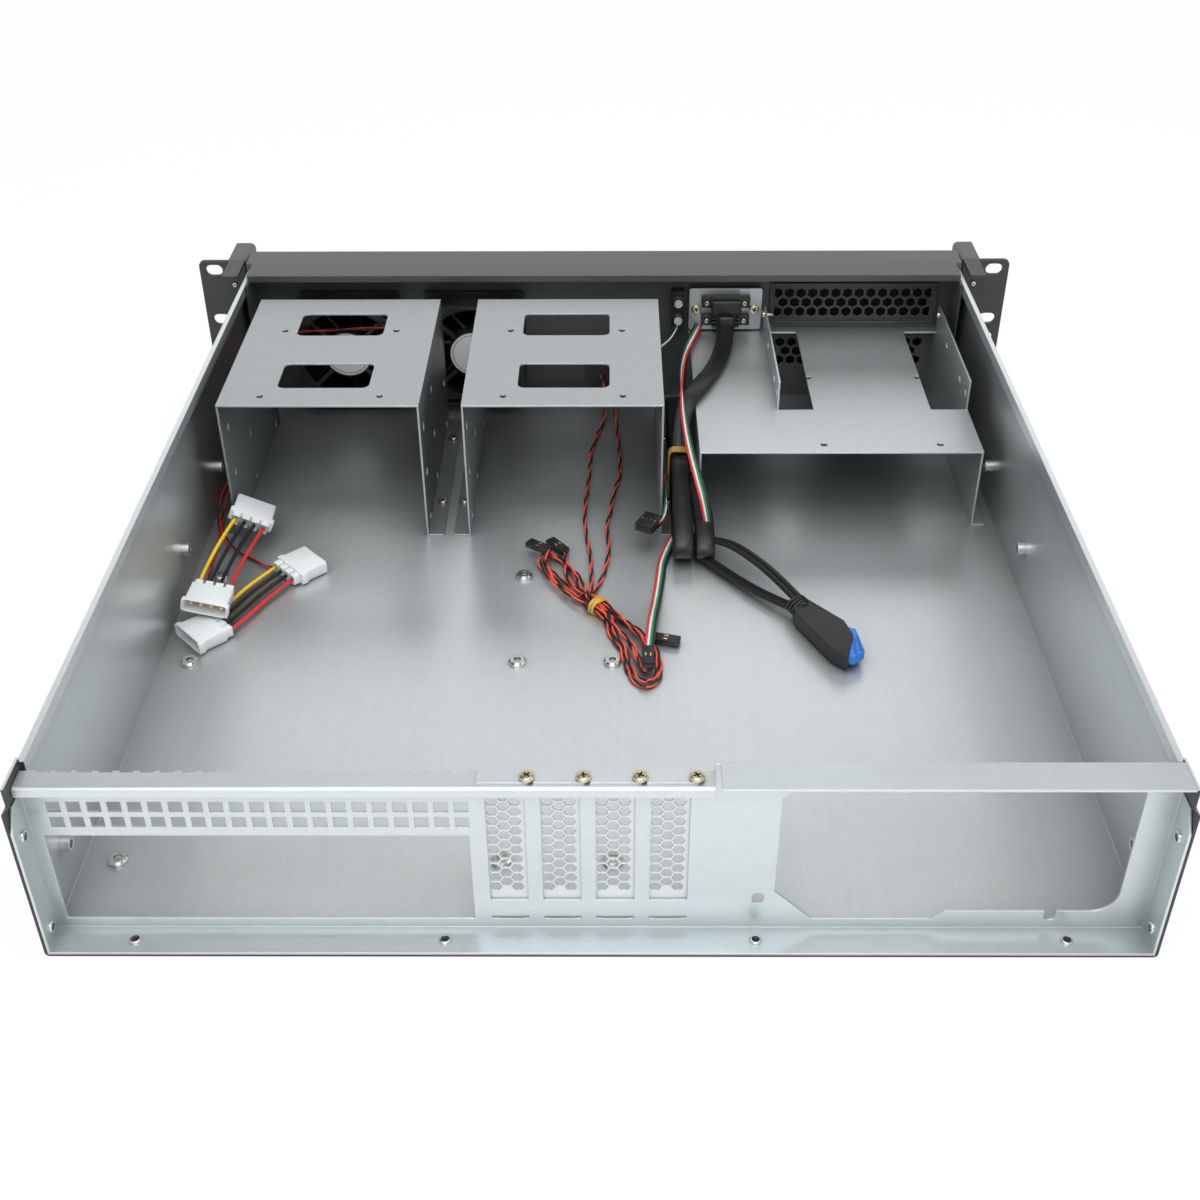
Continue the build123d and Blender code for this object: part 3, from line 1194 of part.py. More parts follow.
def make_cords():
    """Every cord by its node name."""
    cords = {}
    for index, route in enumerate(LINK_ROUTES):
        name = f"link_wire_{index + 1}"
        cords[name] = cord(name, route, WIRE_RADIUS, CORD_SIDES)
    for index, route in enumerate(FAN_LEAD_ROUTES):
        name = f"fan_lead_{index + 1}"
        cords[name] = cord(name, route, THIN_RADIUS, CORD_SIDES)
    for index, route in enumerate(PANEL_LEAD_ROUTES):
        name = f"panel_lead_{index + 1}"
        cords[name] = cord(name, route, TWISTED_RADIUS, CORD_SIDES)
    for index, route in enumerate(PORT_LEAD_ROUTES):
        name = f"port_lead_{index + 1}"
        cords[name] = cord(name, route, PORT_LEAD_RADIUS, CORD_SIDES)
    cords["lamp_lead"] = cord("lamp_lead", LED_LEAD_ROUTE, WIRE_RADIUS, CORD_SIDES)
    cords["header_lead"] = cord("header_lead", HEADER_LEAD_ROUTE, HEADER_LEAD_RADIUS, CORD_SIDES)
    cords["port_cable"] = flat_cord("port_cable", PORT_CABLE_ROUTE, PORT_FLAT)
    cords["ribbon_upper"] = flat_cord("ribbon_upper", RIBBON_UPPER_ROUTE, RIBBON)
    cords["ribbon_lower"] = flat_cord("ribbon_lower", RIBBON_LOWER_ROUTE, RIBBON)
    return cords


def make_loose():
    """Leads, plugs and bundles by name, which keep their distance from the front panel."""
    nodes = {
        "lead_hank": make_lead_hank(),
        "rubber_bands": make_rubber_bands(),
        "pin_connectors": make_pin_connectors(),
        "port_cable_fold": make_port_cable_fold(),
        "port_plug_boot": make_port_boot(),
        "port_plug": make_port_plug(),
    }
    for index in range(len(PLUG_PLACES)):
        nodes[f"power_plug_{index + 1}"] = make_power_plug(index)
    nodes.update(make_cords())
    shift = Pos(0, panel_inside - ROUTE_PANEL, 0)
    return {name: shift * part for name, part in nodes.items()}


def make_all():
    """Every node of the case by its name."""
    ear = make_rack_ear()
    handle = make_handle()
    nodes = {
        "base_tray": make_base_tray(),
        "clinch_nuts": Compound(list(make_floor_nuts().solids()) + list(make_wall_nuts().solids())),
        "rear_panel": make_rear_panel(),
        "rear_rivets": make_rear_rivets(),
        "case_screws": make_case_screws(),
        "front_panel": make_front_panel(),
        "front_bezel": make_front_bezel(),
        "bay_grille": make_bay_grille(),
        "rack_ear_left": ear,
        "rack_ear_right": mirror_x(ear),
        "handle_left": handle,
        "handle_right": mirror_x(handle),
        "small_screws": make_small_screws(),
        "drive_cage_left": make_drive_cage(CAGE_LEFT_X),
        "drive_cage_right": make_drive_cage(CAGE_RIGHT_X),
        "bay_bracket": make_bay_bracket(),
        "fan_frame_left": make_fan_frame(FAN_X[0]),
        "fan_frame_right": make_fan_frame(FAN_X[1]),
        "fan_rotor_left": make_fan_rotor(FAN_X[0]),
        "fan_rotor_right": make_fan_rotor(FAN_X[1]),
        "port_plate": make_port_plate(),
        "port_housing": make_port_housing(),
        "power_button": make_button(0),
        "reset_button": make_button(1),
        "switch_block": make_switch_block(),
        "lamp_holder": make_led_holder(),
        "light_guides": make_light_guides(),
    }
    for slot in range(SLOT_COUNT):
        nodes[f"slot_cover_{slot + 1}"] = make_slot_cover(slot)
    nodes.update(make_loose())
    return nodes


def main():
    """Build every node and write one STEP file for each."""
    os.makedirs("parts", exist_ok=True)
    for name, shape in make_all().items():
        export_step(shape, f"parts/{name}.step")
        print(name, "solids", len(shape.solids()), "volume", round(shape.volume, 1))


main()
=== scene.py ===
import logging
import math
from collections.abc import Callable, Sequence
from dataclasses import dataclass
from enum import Enum
from functools import cache, reduce
from typing import Any

import bmesh
import bpy
from mathutils import Matrix, Vector


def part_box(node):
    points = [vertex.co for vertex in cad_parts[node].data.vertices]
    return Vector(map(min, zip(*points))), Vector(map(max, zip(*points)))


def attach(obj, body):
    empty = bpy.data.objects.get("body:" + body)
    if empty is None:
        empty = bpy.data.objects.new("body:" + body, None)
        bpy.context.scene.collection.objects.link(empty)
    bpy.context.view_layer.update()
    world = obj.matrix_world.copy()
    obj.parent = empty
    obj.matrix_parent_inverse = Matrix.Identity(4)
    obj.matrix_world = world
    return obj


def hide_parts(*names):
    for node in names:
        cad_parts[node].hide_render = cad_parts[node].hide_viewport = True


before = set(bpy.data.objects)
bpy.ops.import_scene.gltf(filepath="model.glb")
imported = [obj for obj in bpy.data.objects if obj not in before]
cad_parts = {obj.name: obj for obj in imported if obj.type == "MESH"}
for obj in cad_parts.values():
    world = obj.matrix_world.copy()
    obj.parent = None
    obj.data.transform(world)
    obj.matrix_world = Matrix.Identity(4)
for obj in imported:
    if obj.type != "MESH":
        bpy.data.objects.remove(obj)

log = logging.getLogger("server_case")
Point = tuple[float, float, float]
Route = tuple[Point, ...]
Color = tuple[float, float, float]
Socket = bpy.types.NodeSocket
Piece = bpy.types.Object
CASE = "case"
SAME = 1e-6  # metres below which two points are one
STRAIGHT = 0.9  # share of a direction above which it counts as along an axis
TOP = 0.9  # share of a head's height above which an edge is at its top
HEAD_SIDES = 28
RIBBON_PITCH = 1.9  # distance of a ribbon's strands, in radii


class Along(Enum):
    """Direction of a finish's grain: how much the pattern is squeezed on each axis."""

    X = (0.03, 1.0, 1.0)
    Y = (1.0, 0.03, 1.0)
    Z = (1.0, 1.0, 0.03)
    NONE = (1.0, 1.0, 1.0)


class Pick(Enum):
    """What an edit-mode step selects."""

    FACES = "FACE"
    EDGES = "EDGE"
    VERTS = "VERT"


def toned(color: Color, factor: float) -> Color:
    """Colour made darker or lighter."""
    return tuple(min(1.0, part * factor) for part in color)


class Graph:
    """Node tree of one material or of the world, with short calls for the nodes it needs."""

    def __init__(self, owner: Any, output: str = "ShaderNodeOutputMaterial") -> None:
        """Starts an empty tree.

        Args:
            owner: Material or world that gets the tree.
            output: Blender's name of its output node.
        """
        self.owner = owner
        self.owner.use_nodes = True
        self.tree = owner.node_tree
        self.tree.nodes.clear()
        self.output = self.add(output)
        self.place = self.add("ShaderNodeTexCoord").outputs["Object"]

    def add(self, kind: str, inputs: dict[Any, Any] | None = None, **settings: Any) -> bpy.types.Node:
        """Adds a node.

        Args:
            kind: Blender's name of the node type.
            inputs: Value or output socket for each input, by name or number.
            **settings: Properties of the node.

        Returns:
            The node.
        """
        node = self.tree.nodes.new(kind)
        for key, value in settings.items():
            setattr(node, key, value)
        for key, value in (inputs or {}).items():
            if isinstance(value, Socket):
                self.tree.links.new(value, node.inputs[key])
            else:
                node.inputs[key].default_value = value
        return node

    def math(self, operation: str, *values: Any) -> Socket:
        """Result of a Math node on one or two values."""
        return self.add("ShaderNodeMath", dict(enumerate(values)), operation=operation).outputs[0]

    def total(self, *values: Any) -> Socket:
        """Sum of two or more values."""
        return reduce(lambda first, second: self.math("ADD", first, second), values)

    def stretched(self, scale: Sequence[float]) -> Socket:
        """Object coordinates, multiplied on each axis."""
        return self.add("ShaderNodeMapping", {"Vector": self.place, "Scale": tuple(scale)}).outputs[0]

    def noise(self, scale: float, detail: float, along: Along = Along.NONE) -> Socket:
        """Noise from 0 to 1, with its spots to a metre, its finer layers and its grain."""
        vector = self.stretched([scale * part for part in along.value])
        return self.add("ShaderNodeTexNoise", {"Vector": vector, "Scale": 1.0, "Detail": detail}).outputs[0]

    def spread(self, value: Any, low: float, high: float, start: float = 0.3, end: float = 0.7) -> Socket:
        """Value from start to end, turned into a number from low to high."""
        inputs = {"Value": value, "From Min": start, "From Max": end, "To Min": low, "To Max": high}
        return self.add("ShaderNodeMapRange", inputs, clamp=True).outputs[0]

    def blend(self, factor: Any, first: Any, second: Any) -> Socket:
        """Colour between two colours, each a socket or three numbers."""
        ends = [end if isinstance(end, Socket) else (*end, 1.0) for end in (first, second)]
        return self.add("ShaderNodeMix", {0: factor, 6: ends[0], 7: ends[1]}, data_type="RGBA").outputs[2]

    def mottled(self, factor: Any, color: Color, share: float) -> Socket:
        """Colour that is a share darker or lighter in places."""
        return self.blend(factor, toned(color, 1.0 - share), toned(color, 1.0 + share))

    def mix(self, factor: Any, first: Any, second: Any) -> Socket:
        """Shader between two shaders."""
        return self.add("ShaderNodeMixShader", {0: factor, 1: first, 2: second}).outputs[0]

    def edges(self, radius: float, strength: float) -> tuple[Socket, Socket]:
        """Rounded normal and the mask of the piece's edges.

        Args:
            radius: Width of the edge in metres.
            strength: How much of the mask is kept.

        Returns:
            The rounded normal and the mask.
        """
        rounded = self.add("ShaderNodeBevel", {"Radius": radius}, samples=4).outputs[0]
        flat = self.add("ShaderNodeNewGeometry").outputs["Normal"]
        bend = self.add("ShaderNodeVectorMath", {0: rounded, 1: flat}, operation="DOT_PRODUCT")
        return rounded, self.spread(bend.outputs["Value"], strength, 0.0, 0.75, 0.995)

    def bump(self, height: Any, distance: float, strength: float, normal: Any) -> Socket:
        """Normal, bumped by a height."""
        inputs = {"Height": height, "Distance": distance, "Strength": strength, "Normal": normal}
        return self.add("ShaderNodeBump", inputs).outputs[0]

    def finish(self, shader: Socket) -> Any:
        """Connects the shader and returns the material or world."""
        self.tree.links.new(shader, self.output.inputs["Surface"])
        return self.owner


@dataclass(frozen=True)
class Finish:
    """Finish of a surface, with the name of its material."""

    name: str

    def shader(self, graph: Graph) -> Socket:
        """Shader of the finish.

        Args:
            graph: Node tree that gets it.

        Returns:
            The shader's socket.
        """
        raise NotImplementedError

    def build(self) -> bpy.types.Material:
        """Makes the material."""
        graph = Graph(bpy.data.materials.new(self.name))
        return graph.finish(self.shader(graph))


@dataclass(frozen=True)
class Sheet(Finish):
    """Zinc-coated sheet: fine rolling streaks, faint crystals, cloudy gloss, bright cut edges with a painted
    highlight along its folds, and painted shade in its hollows.
    """

    color: Color
    roughness: float
    along: Along = Along.Y
    edge: float = 0.45
    edge_radius: float = 0.0006
    metallic: float = 1.0
    # Strength of the painted shade that darkens the sheet's hollows, and below it how far that shade
    # reaches, in metres.
    painted_shade: float = 0.0
    reach: float = 0.07
    streaks: float = 1300.0
    bands: float = 170.0
    clouds: float = 9.0
    crystals: float = 260.0
    mottle: float = 0.20
    # Colour of the bright cut edges, and of the painted highlight along the inner folds.
    cut_edge_and_fold_highlight: Color = (0.86, 0.87, 0.87)

    def shader(self, graph: Graph) -> Socket:
        """Shader of the sheet, with painted shade darkening its hollows."""
        streak = graph.noise(self.streaks, 2.0, self.along)
        band = graph.noise(self.bands, 3.0, self.along)
        cloud = graph.noise(self.clouds, 4.0)
        cells = {"Vector": graph.stretched([self.crystals] * 3), "Scale": 1.0}
        crystal = graph.add("ShaderNodeTexVoronoi", cells).outputs["Color"]
        grey = graph.add("ShaderNodeRGBToBW", {0: crystal}).outputs[0]
        tone = graph.total(
            graph.spread(streak, -0.04, 0.04), graph.spread(grey, -0.03, 0.03, 0.2, 0.8),
            graph.spread(band, -0.03, 0.03), graph.spread(cloud, 0.44, 0.56),
        )
        rounded, mask = graph.edges(self.edge_radius, self.edge)
        color = graph.mottled(tone, self.color, self.mottle)
        # Painted shade: the colour is darkened where ambient occlusion finds the sheet hemmed in, in
        # corners, folds and under other parts.
        if self.painted_shade > 0:
            sky = graph.add("ShaderNodeAmbientOcclusion", {"Distance": self.reach}, samples=6).outputs["AO"]
            shade = toned(self.color, 1.0 - self.painted_shade)
            color = graph.blend(graph.spread(sky, 0.0, 1.0, 0.35, 0.90), shade, color)
        gloss = graph.total(graph.spread(cloud, -0.05, 0.05), graph.spread(streak, -0.02, 0.02))
        return graph.add("ShaderNodeBsdfPrincipled", {
            # The edge mask lightens cut edges, which are brighter metal, and also lightens the inner folds
            # as a painted highlight.
            "Base Color": graph.blend(mask, color, self.cut_edge_and_fold_highlight),
            "Metallic": self.metallic,
            "Roughness": graph.total(gloss, self.roughness),
            "Normal": graph.bump(streak, 0.0001, 0.03, rounded),
        }).outputs[0]


@dataclass(frozen=True)
class Coat(Finish):
    """Satin powder coat: fine pebbled bump, cloudy gloss, faint dust and rubbed edges."""

    color: Color
    roughness: float
    rubbed: Color = (0.17, 0.17, 0.175)
    edge: float = 0.4
    edge_radius: float = 0.0007
    pebbles: float = 1500.0
    clouds: float = 14.0
    scuffs: float = 420.0
    mottle: float = 0.15

    def shader(self, graph: Graph) -> Socket:
        """Shader of the coat."""
        pebble = graph.noise(self.pebbles, 2.0)
        cloud = graph.noise(self.clouds, 4.0)
        scuff = graph.noise(self.scuffs, 4.0, Along.X)
        rounded, mask = graph.edges(self.edge_radius, self.edge)
        color = graph.mottled(graph.spread(cloud, 0.0, 1.0), self.color, self.mottle)
        color = graph.blend(graph.spread(scuff, 0.0, 0.18, 0.62, 0.72), color, self.rubbed)
        return graph.add("ShaderNodeBsdfPrincipled", {
            "Base Color": graph.blend(mask, color, self.rubbed),
            "Roughness": graph.total(graph.spread(cloud, -0.05, 0.05), self.roughness),
            "Normal": graph.bump(pebble, 0.0002, 0.16, rounded),
        }).outputs[0]


@dataclass(frozen=True)
class CoatedTray(Finish):
    """Finish of the tray: bare zinc inside, black coat outside and on the overlap at the rear."""

    zinc: Sheet
    coat: Coat
    overlap: float
    outward: float = 0.3
    downward: float = -0.5

    def shader(self, graph: Graph) -> Socket:
        """Zinc or coat, chosen by place and by the way the surface faces."""
        normal = graph.add("ShaderNodeNewGeometry").outputs["Normal"]
        facing = graph.add("ShaderNodeSeparateXYZ", {0: normal}).outputs
        where = graph.add("ShaderNodeSeparateXYZ", {0: graph.place}).outputs
        side = graph.math("SIGN", where["X"])
        outward = graph.math("GREATER_THAN", graph.math("MULTIPLY", side, facing["X"]), self.outward)
        below = graph.math("LESS_THAN", facing["Z"], self.downward)
        rear = graph.math("GREATER_THAN", where["Y"], self.overlap)
        upright = graph.math("LESS_THAN", graph.math("ABSOLUTE", facing["Z"]), STRAIGHT)
        overlap = graph.math("MULTIPLY", rear, upright)
        black = graph.math("MAXIMUM", graph.math("MAXIMUM", outward, below), overlap)
        return graph.mix(black, self.zinc.shader(graph), self.coat.shader(graph))


@dataclass(frozen=True)
class Moulding(Finish):
    """Moulded plastic or insulation: slight flow clouds, fine grain and softened edges."""

    color: Color
    roughness: float
    mottle: float = 0.10
    grain: float = 1800.0
    grain_strength: float = 0.08
    edge: float = 0.25
    edge_color: Color = (0.3, 0.3, 0.3)
    subsurface: float = 0.0
    clear: float = 0.0
    edge_radius: float = 0.0003
    clouds: float = 60.0

    def shader(self, graph: Graph) -> Socket:
        """Shader of the moulding."""
        cloud = graph.spread(graph.noise(self.clouds, 3.0), 0.0, 1.0)
        grain = graph.noise(self.grain, 2.0)
        rounded, mask = graph.edges(self.edge_radius, self.edge)
        color = graph.mottled(cloud, self.color, self.mottle)
        return graph.add("ShaderNodeBsdfPrincipled", {
            "Base Color": graph.blend(mask, color, self.edge_color),
            "Roughness": graph.total(graph.spread(grain, -0.05, 0.05), self.roughness),
            "Normal": graph.bump(grain, 0.0001, self.grain_strength, rounded),
            "Subsurface Weight": self.subsurface,
            "Subsurface Scale": 0.002,
            "Transmission Weight": self.clear,
        }).outputs[0]


# The eighth value of each sheet is the strength of its painted shade in hollows, the ninth is how far that
# shade reaches.
ZINC_INSIDE = Sheet("zinc_floor", (0.73, 0.77, 0.78), 0.34, Along.Y, 0.5, 0.0010, 0.70, 0.50, 0.09)
ZINC_REAR = Sheet("zinc_rear", (0.66, 0.71, 0.72), 0.42, Along.X, 0.6, 0.0006, 0.85, 0.30, 0.02)
ZINC_CAGE = Sheet("zinc_cage", (0.47, 0.50, 0.51), 0.44, Along.X, 0.6, 0.0006, 0.85, 0.45, 0.06)
ZINC_COVER = Sheet("zinc_cover", (0.72, 0.76, 0.77), 0.40, Along.Z, 0.6, 0.0003, 0.85, 0.30, 0.02)
ZINC_BAY = Sheet("zinc_bay", (0.66, 0.70, 0.71), 0.42, Along.X, 0.6, 0.0006, 0.80, 0.35, 0.04)
ZINC_NUT = Sheet("bright_zinc", (0.72, 0.73, 0.72), 0.24, Along.NONE, 0.4, 0.0003)
GOLD_STEEL = Sheet("yellow_passivated", (0.66, 0.60, 0.43), 0.26, Along.NONE, 0.4, 0.0003)
PIN_GOLD = Sheet("contact_gold", (0.78, 0.60, 0.26), 0.24, Along.NONE, 0.3, 0.0002)
BLACK_SHEET = Coat("black_sheet_coat", (0.034, 0.035, 0.037), 0.40)
BEZEL_COAT = Coat("charcoal_coat", (0.088, 0.090, 0.092), 0.46)
# A lighter copy of the black sheet coat: painted light on the front panel's inner face.
PANEL_COAT_PAINTED_LIGHT = Coat("panel_coat_painted_light", (0.066, 0.069, 0.072), 0.40)
FILTER = Moulding("filter_foam", (0.012, 0.012, 0.013), 0.85, 0.3, 900.0, 0.6, edge=0.0)
TRAY_COAT = Coat("tray_coat", (0.030, 0.031, 0.033), 0.44)
TRAY = CoatedTray("tray_two_sides", ZINC_INSIDE, TRAY_COAT, 0.2270)
BLACK_PLASTIC = Moulding("black_moulding", (0.018, 0.018, 0.019), 0.40, edge_color=(0.10, 0.10, 0.10))
FAN_BLACK = Moulding("fan_black", (0.014, 0.014, 0.016), 0.34, edge_color=(0.08, 0.08, 0.085))
NYLON = Moulding("white_nylon", (0.80, 0.81, 0.82), 0.46, 0.03, 900.0, 0.05, 0.2, (0.9, 0.9, 0.9), 0.15)
CLEAR = Moulding("clear_rod", (0.46, 0.50, 0.49), 0.12, 0.03, 900.0, 0.03, 0.1, (0.9, 0.9, 0.9), 0.0, 0.85)
BLUE = Moulding("blue_insert", (0.030, 0.22, 0.74), 0.34, 0.06, edge_color=(0.25, 0.48, 0.9))
# Dark blue painted shade that stands for the insert's slot openings.
BLUE_SLOT_SHADE = Moulding("blue_slot_shade", (0.010, 0.060, 0.25), 0.5, 0.1, edge=0.0)
BAND = Moulding("yellow_rubber", (0.56, 0.36, 0.06), 0.55, 0.16, 700.0, 0.3, 0.1, (0.7, 0.5, 0.15))
LABEL = Moulding("blank_label", (0.88, 0.89, 0.90), 0.55, 0.02, 500.0, 0.04, 0.1, (0.6, 0.6, 0.6))
LABEL_RIM = Moulding("label_rim", (0.20, 0.20, 0.21), 0.55, 0.05, 500.0, 0.04, edge=0.0)
# Near-black painted shade for the recesses of screw heads and rivets.
RECESS_SHADE = Moulding("recess_shadow", (0.012, 0.012, 0.012), 0.6, 0.1, edge=0.0)
WIRE_YELLOW = Moulding("insulation_yellow", (0.84, 0.58, 0.02), 0.36, 0.05, edge=0.0)
WIRE_BLACK = Moulding("insulation_black", (0.016, 0.016, 0.017), 0.34, 0.1, edge=0.0)
WIRE_RED = Moulding("insulation_red", (0.66, 0.03, 0.03), 0.36, 0.06, edge=0.0)
WIRE_ORANGE = Moulding("insulation_orange_red", (0.86, 0.10, 0.055), 0.38, 0.08, edge=0.0)
WIRE_WHITE = Moulding("insulation_white", (0.78, 0.78, 0.77), 0.38, 0.04, edge=0.0)
WIRE_GREEN = Moulding("insulation_green", (0.016, 0.23, 0.10), 0.38, 0.06, edge=0.0)
JACKET = Moulding("black_jacket", (0.009, 0.009, 0.010), 0.36, 0.1, 1100.0, 0.06, edge=0.0)


@cache
def material(finish: Finish) -> bpy.types.Material:
    """Material of a finish, made once."""
    return finish.build()


def dress(finish: Finish, *nodes: str) -> None:
    """Gives CAD nodes a finish on their objects."""
    for node in nodes:
        for material_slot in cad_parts[node].material_slots:
            material_slot.link = "OBJECT"
            material_slot.material = material(finish)
        log.info("%s: %s", node, finish.name)


def turned(degrees: float, axis: str = "Z") -> Matrix:
    """Turn about one axis."""
    return Matrix.Rotation(math.radians(degrees), 4, axis)


def object_mode() -> None:
    """Closes edit mode, if it is open."""
    if bpy.context.object and bpy.context.object.mode != "OBJECT":
        bpy.ops.object.mode_set(mode="OBJECT")


def deselect() -> None:
    """Leaves nothing selected and no edit mode open."""
    object_mode()
    bpy.ops.object.select_all(action="DESELECT")


class Bench:
    """Modelling of one new piece with Blender's operators."""

    def __init__(self, name: str, primitive: Callable[..., Any] | None = None, **shape: Any) -> None:
        """Takes a fresh primitive, or else the active object, to the bench.

        Args:
            name: Name of the piece.
            primitive: Operator that adds the primitive.
            **shape: Its values.
        """
        if primitive:
            deselect()
            primitive(**shape)
        self.piece = bpy.context.object
        self.piece.name = self.piece.data.name = name
        bpy.ops.object.transform_apply(location=True, rotation=True, scale=True)

    @classmethod
    def box(cls, name: str, low: Sequence[float], high: Sequence[float]) -> "Bench":
        """Starts from a block between its lowest and its highest corner."""
        middle, size = zip(*(((a + b) / 2, b - a) for a, b in zip(low, high)))
        return cls(name, bpy.ops.mesh.primitive_cube_add, size=1.0, location=middle, scale=size)

    @classmethod
    def rod(cls, name: str, radius: float, depth: float, low: float, sides: int) -> "Bench":
        """Starts from an upright round rod, as high as depth, with its lower end at low."""
        shape = {"radius": radius, "depth": depth, "location": (0, 0, low + depth / 2)}
        return cls(name, bpy.ops.mesh.primitive_cylinder_add, vertices=sides, **shape)

    @classmethod
    def ring(cls, name: str, radius: float, thickness: float, sides: int, around: int) -> "Bench":
        """Starts from a flat ring about Z, with a round section."""
        shape = {"major_segments": sides, "minor_segments": around, "minor_radius": thickness}
        return cls(name, bpy.ops.mesh.primitive_torus_add, major_radius=radius, **shape)

    @classmethod
    def copy_of(cls, node: str, name: str) -> "Bench":
        """Starts from a merged copy of a CAD node's mesh.

        Args:
            node: Name of the CAD node.
            name: Name of the piece.

        Returns:
            The bench.
        """
        deselect()
        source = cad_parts[node]
        piece = copy_at(source, name, source.matrix_world)
        piece.data.materials.clear()
        bpy.context.view_layer.objects.active = piece
        piece.select_set(True)
        bench = cls(name).everything()
        bpy.ops.mesh.remove_doubles(threshold=SAME)
        bpy.ops.mesh.dissolve_limited(angle_limit=math.radians(1.0))
        bpy.ops.mesh.normals_make_consistent(inside=False)
        return bench

    def pick(self, kind: Pick, test: Callable[[Vector, Vector], bool]) -> "Bench":
        """Selects in edit mode what passes a test.

        Args:
            kind: Faces, edges or vertices.
            test: Takes the middle and the normal, or an edge's direction, and says whether to select.

        Returns:
            The bench, so that steps can follow each other.
        """
        bpy.ops.object.mode_set(mode="EDIT")
        bpy.ops.mesh.select_mode(type=kind.value)
        bpy.ops.mesh.select_all(action="DESELECT")
        mesh = bmesh.from_edit_mesh(self.piece.data)
        if kind is Pick.FACES:
            for face in mesh.faces:
                face.select_set(test(face.calc_center_median(), face.normal))
        elif kind is Pick.EDGES:
            for edge in mesh.edges:
                start, end = (vert.co for vert in edge.verts)
                edge.select_set(test((start + end) / 2, (end - start).normalized()))
        else:
            for vert in mesh.verts:
                vert.select_set(test(vert.co, vert.normal))
        mesh.select_flush_mode()
        bmesh.update_edit_mesh(self.piece.data)
        return self

    def everything(self) -> "Bench":
        """Selects the whole piece in edit mode."""
        bpy.ops.object.mode_set(mode="EDIT")
        bpy.ops.mesh.select_all(action="SELECT")
        return self

    def inset(self, thickness: float, depth: float = 0.0) -> "Bench":
        """Insets the selected faces, and moves them inwards by depth."""
        bpy.ops.mesh.inset(thickness=thickness, depth=-depth)
        return self

    def extrude(self, move: Point) -> "Bench":
        """Extrudes the selected faces by a vector."""
        bpy.ops.mesh.extrude_region_move(TRANSFORM_OT_translate={"value": move})
        return self

    def bevel(self, width: float, segments: int = 2) -> "Bench":
        """Bevels the selected edges."""
        bpy.ops.mesh.bevel(offset=width, segments=segments, affect="EDGES")
        return self

    def round_top(self, height: float, width: float, segments: int = 3) -> "Bench":
        """Bevels the level edges above a height."""
        self.pick(Pick.EDGES, lambda c, d: abs(d.z) < 0.1 and c.z > height)
        return self.bevel(width, segments)

    def soften(self, width: float, segments: int = 2) -> "Bench":
        """Rounds every sharp edge of the piece."""
        rounding = self.piece.modifiers.new("soft_edges", "BEVEL")
        rounding.width, rounding.segments, rounding.limit_method = width, segments, "ANGLE"
        bpy.ops.object.modifier_apply(modifier=rounding.name)
        return self

    def paint(self, finish: Finish) -> "Bench":
        """Gives the selected faces a finish of their own."""
        held, name = self.piece.data.materials, material(finish).name
        if name not in held:
            held.append(material(finish))
        self.piece.active_material_index = held.find(name)
        bpy.ops.object.material_slot_assign()
        return self

    def coat(self, finish: Finish) -> "Bench":
        """Adds a finish to the piece, all of which has the first one until faces are painted."""
        object_mode()
        self.piece.data.materials.append(material(finish))
        return self

    def smooth(self, degrees: float = 40.0) -> "Bench":
        """Shades the piece smooth, except over sharp edges."""
        object_mode()
        bpy.ops.object.shade_smooth_by_angle(angle=math.radians(degrees))
        return self

    def put(self, place: Matrix) -> Piece:
        """Moves the piece in its mesh, and returns it."""
        self.piece.data.transform(place)
        return self.piece


def copy_at(source: Piece, name: str, place: Matrix) -> Piece:
    """Copy of a piece with its own mesh, moved in its mesh.

    Args:
        source: Object to copy.
        name: Name of the copy.
        place: Matrix from the source's own frame to the case's frame.

    Returns:
        The copy.
    """
    mesh = source.data.copy()
    mesh.transform(place)
    piece = bpy.data.objects.new(name, mesh)
    bpy.context.scene.collection.objects.link(piece)
    return piece


def settle(
    name: str, parts: Sequence[Piece], slot: str, *nodes: str, place: Matrix | None = None
) -> Piece:
    """Makes parts into one piece that rides on the case, and reports it.

    Args:
        name: Name of the piece.
        parts: Objects that become one mesh.
        slot: Material slot; not used.
        *nodes: CAD nodes that the piece replaces.
        place: Matrix from the parts' own frame to the case's frame.

    Returns:
        The piece.
    """
    deselect()
    for part in parts:
        part.select_set(True)
    piece = bpy.context.view_layer.objects.active = parts[0]
    if len(parts) > 1:
        bpy.ops.object.join()
    piece.name = piece.data.name = name
    if place is not None:
        piece.data.transform(place)
    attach(piece, CASE)
    if nodes:
        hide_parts(*nodes)
    log.info("%s: %d parts", name, len(parts))
    return piece


@dataclass
class Strand:
    """One strand of a cord: its radius, finish, and place beside or around the cord's line."""

    radius: float
    finish: Finish
    across: float = 0.0
    phase: float = 0.0


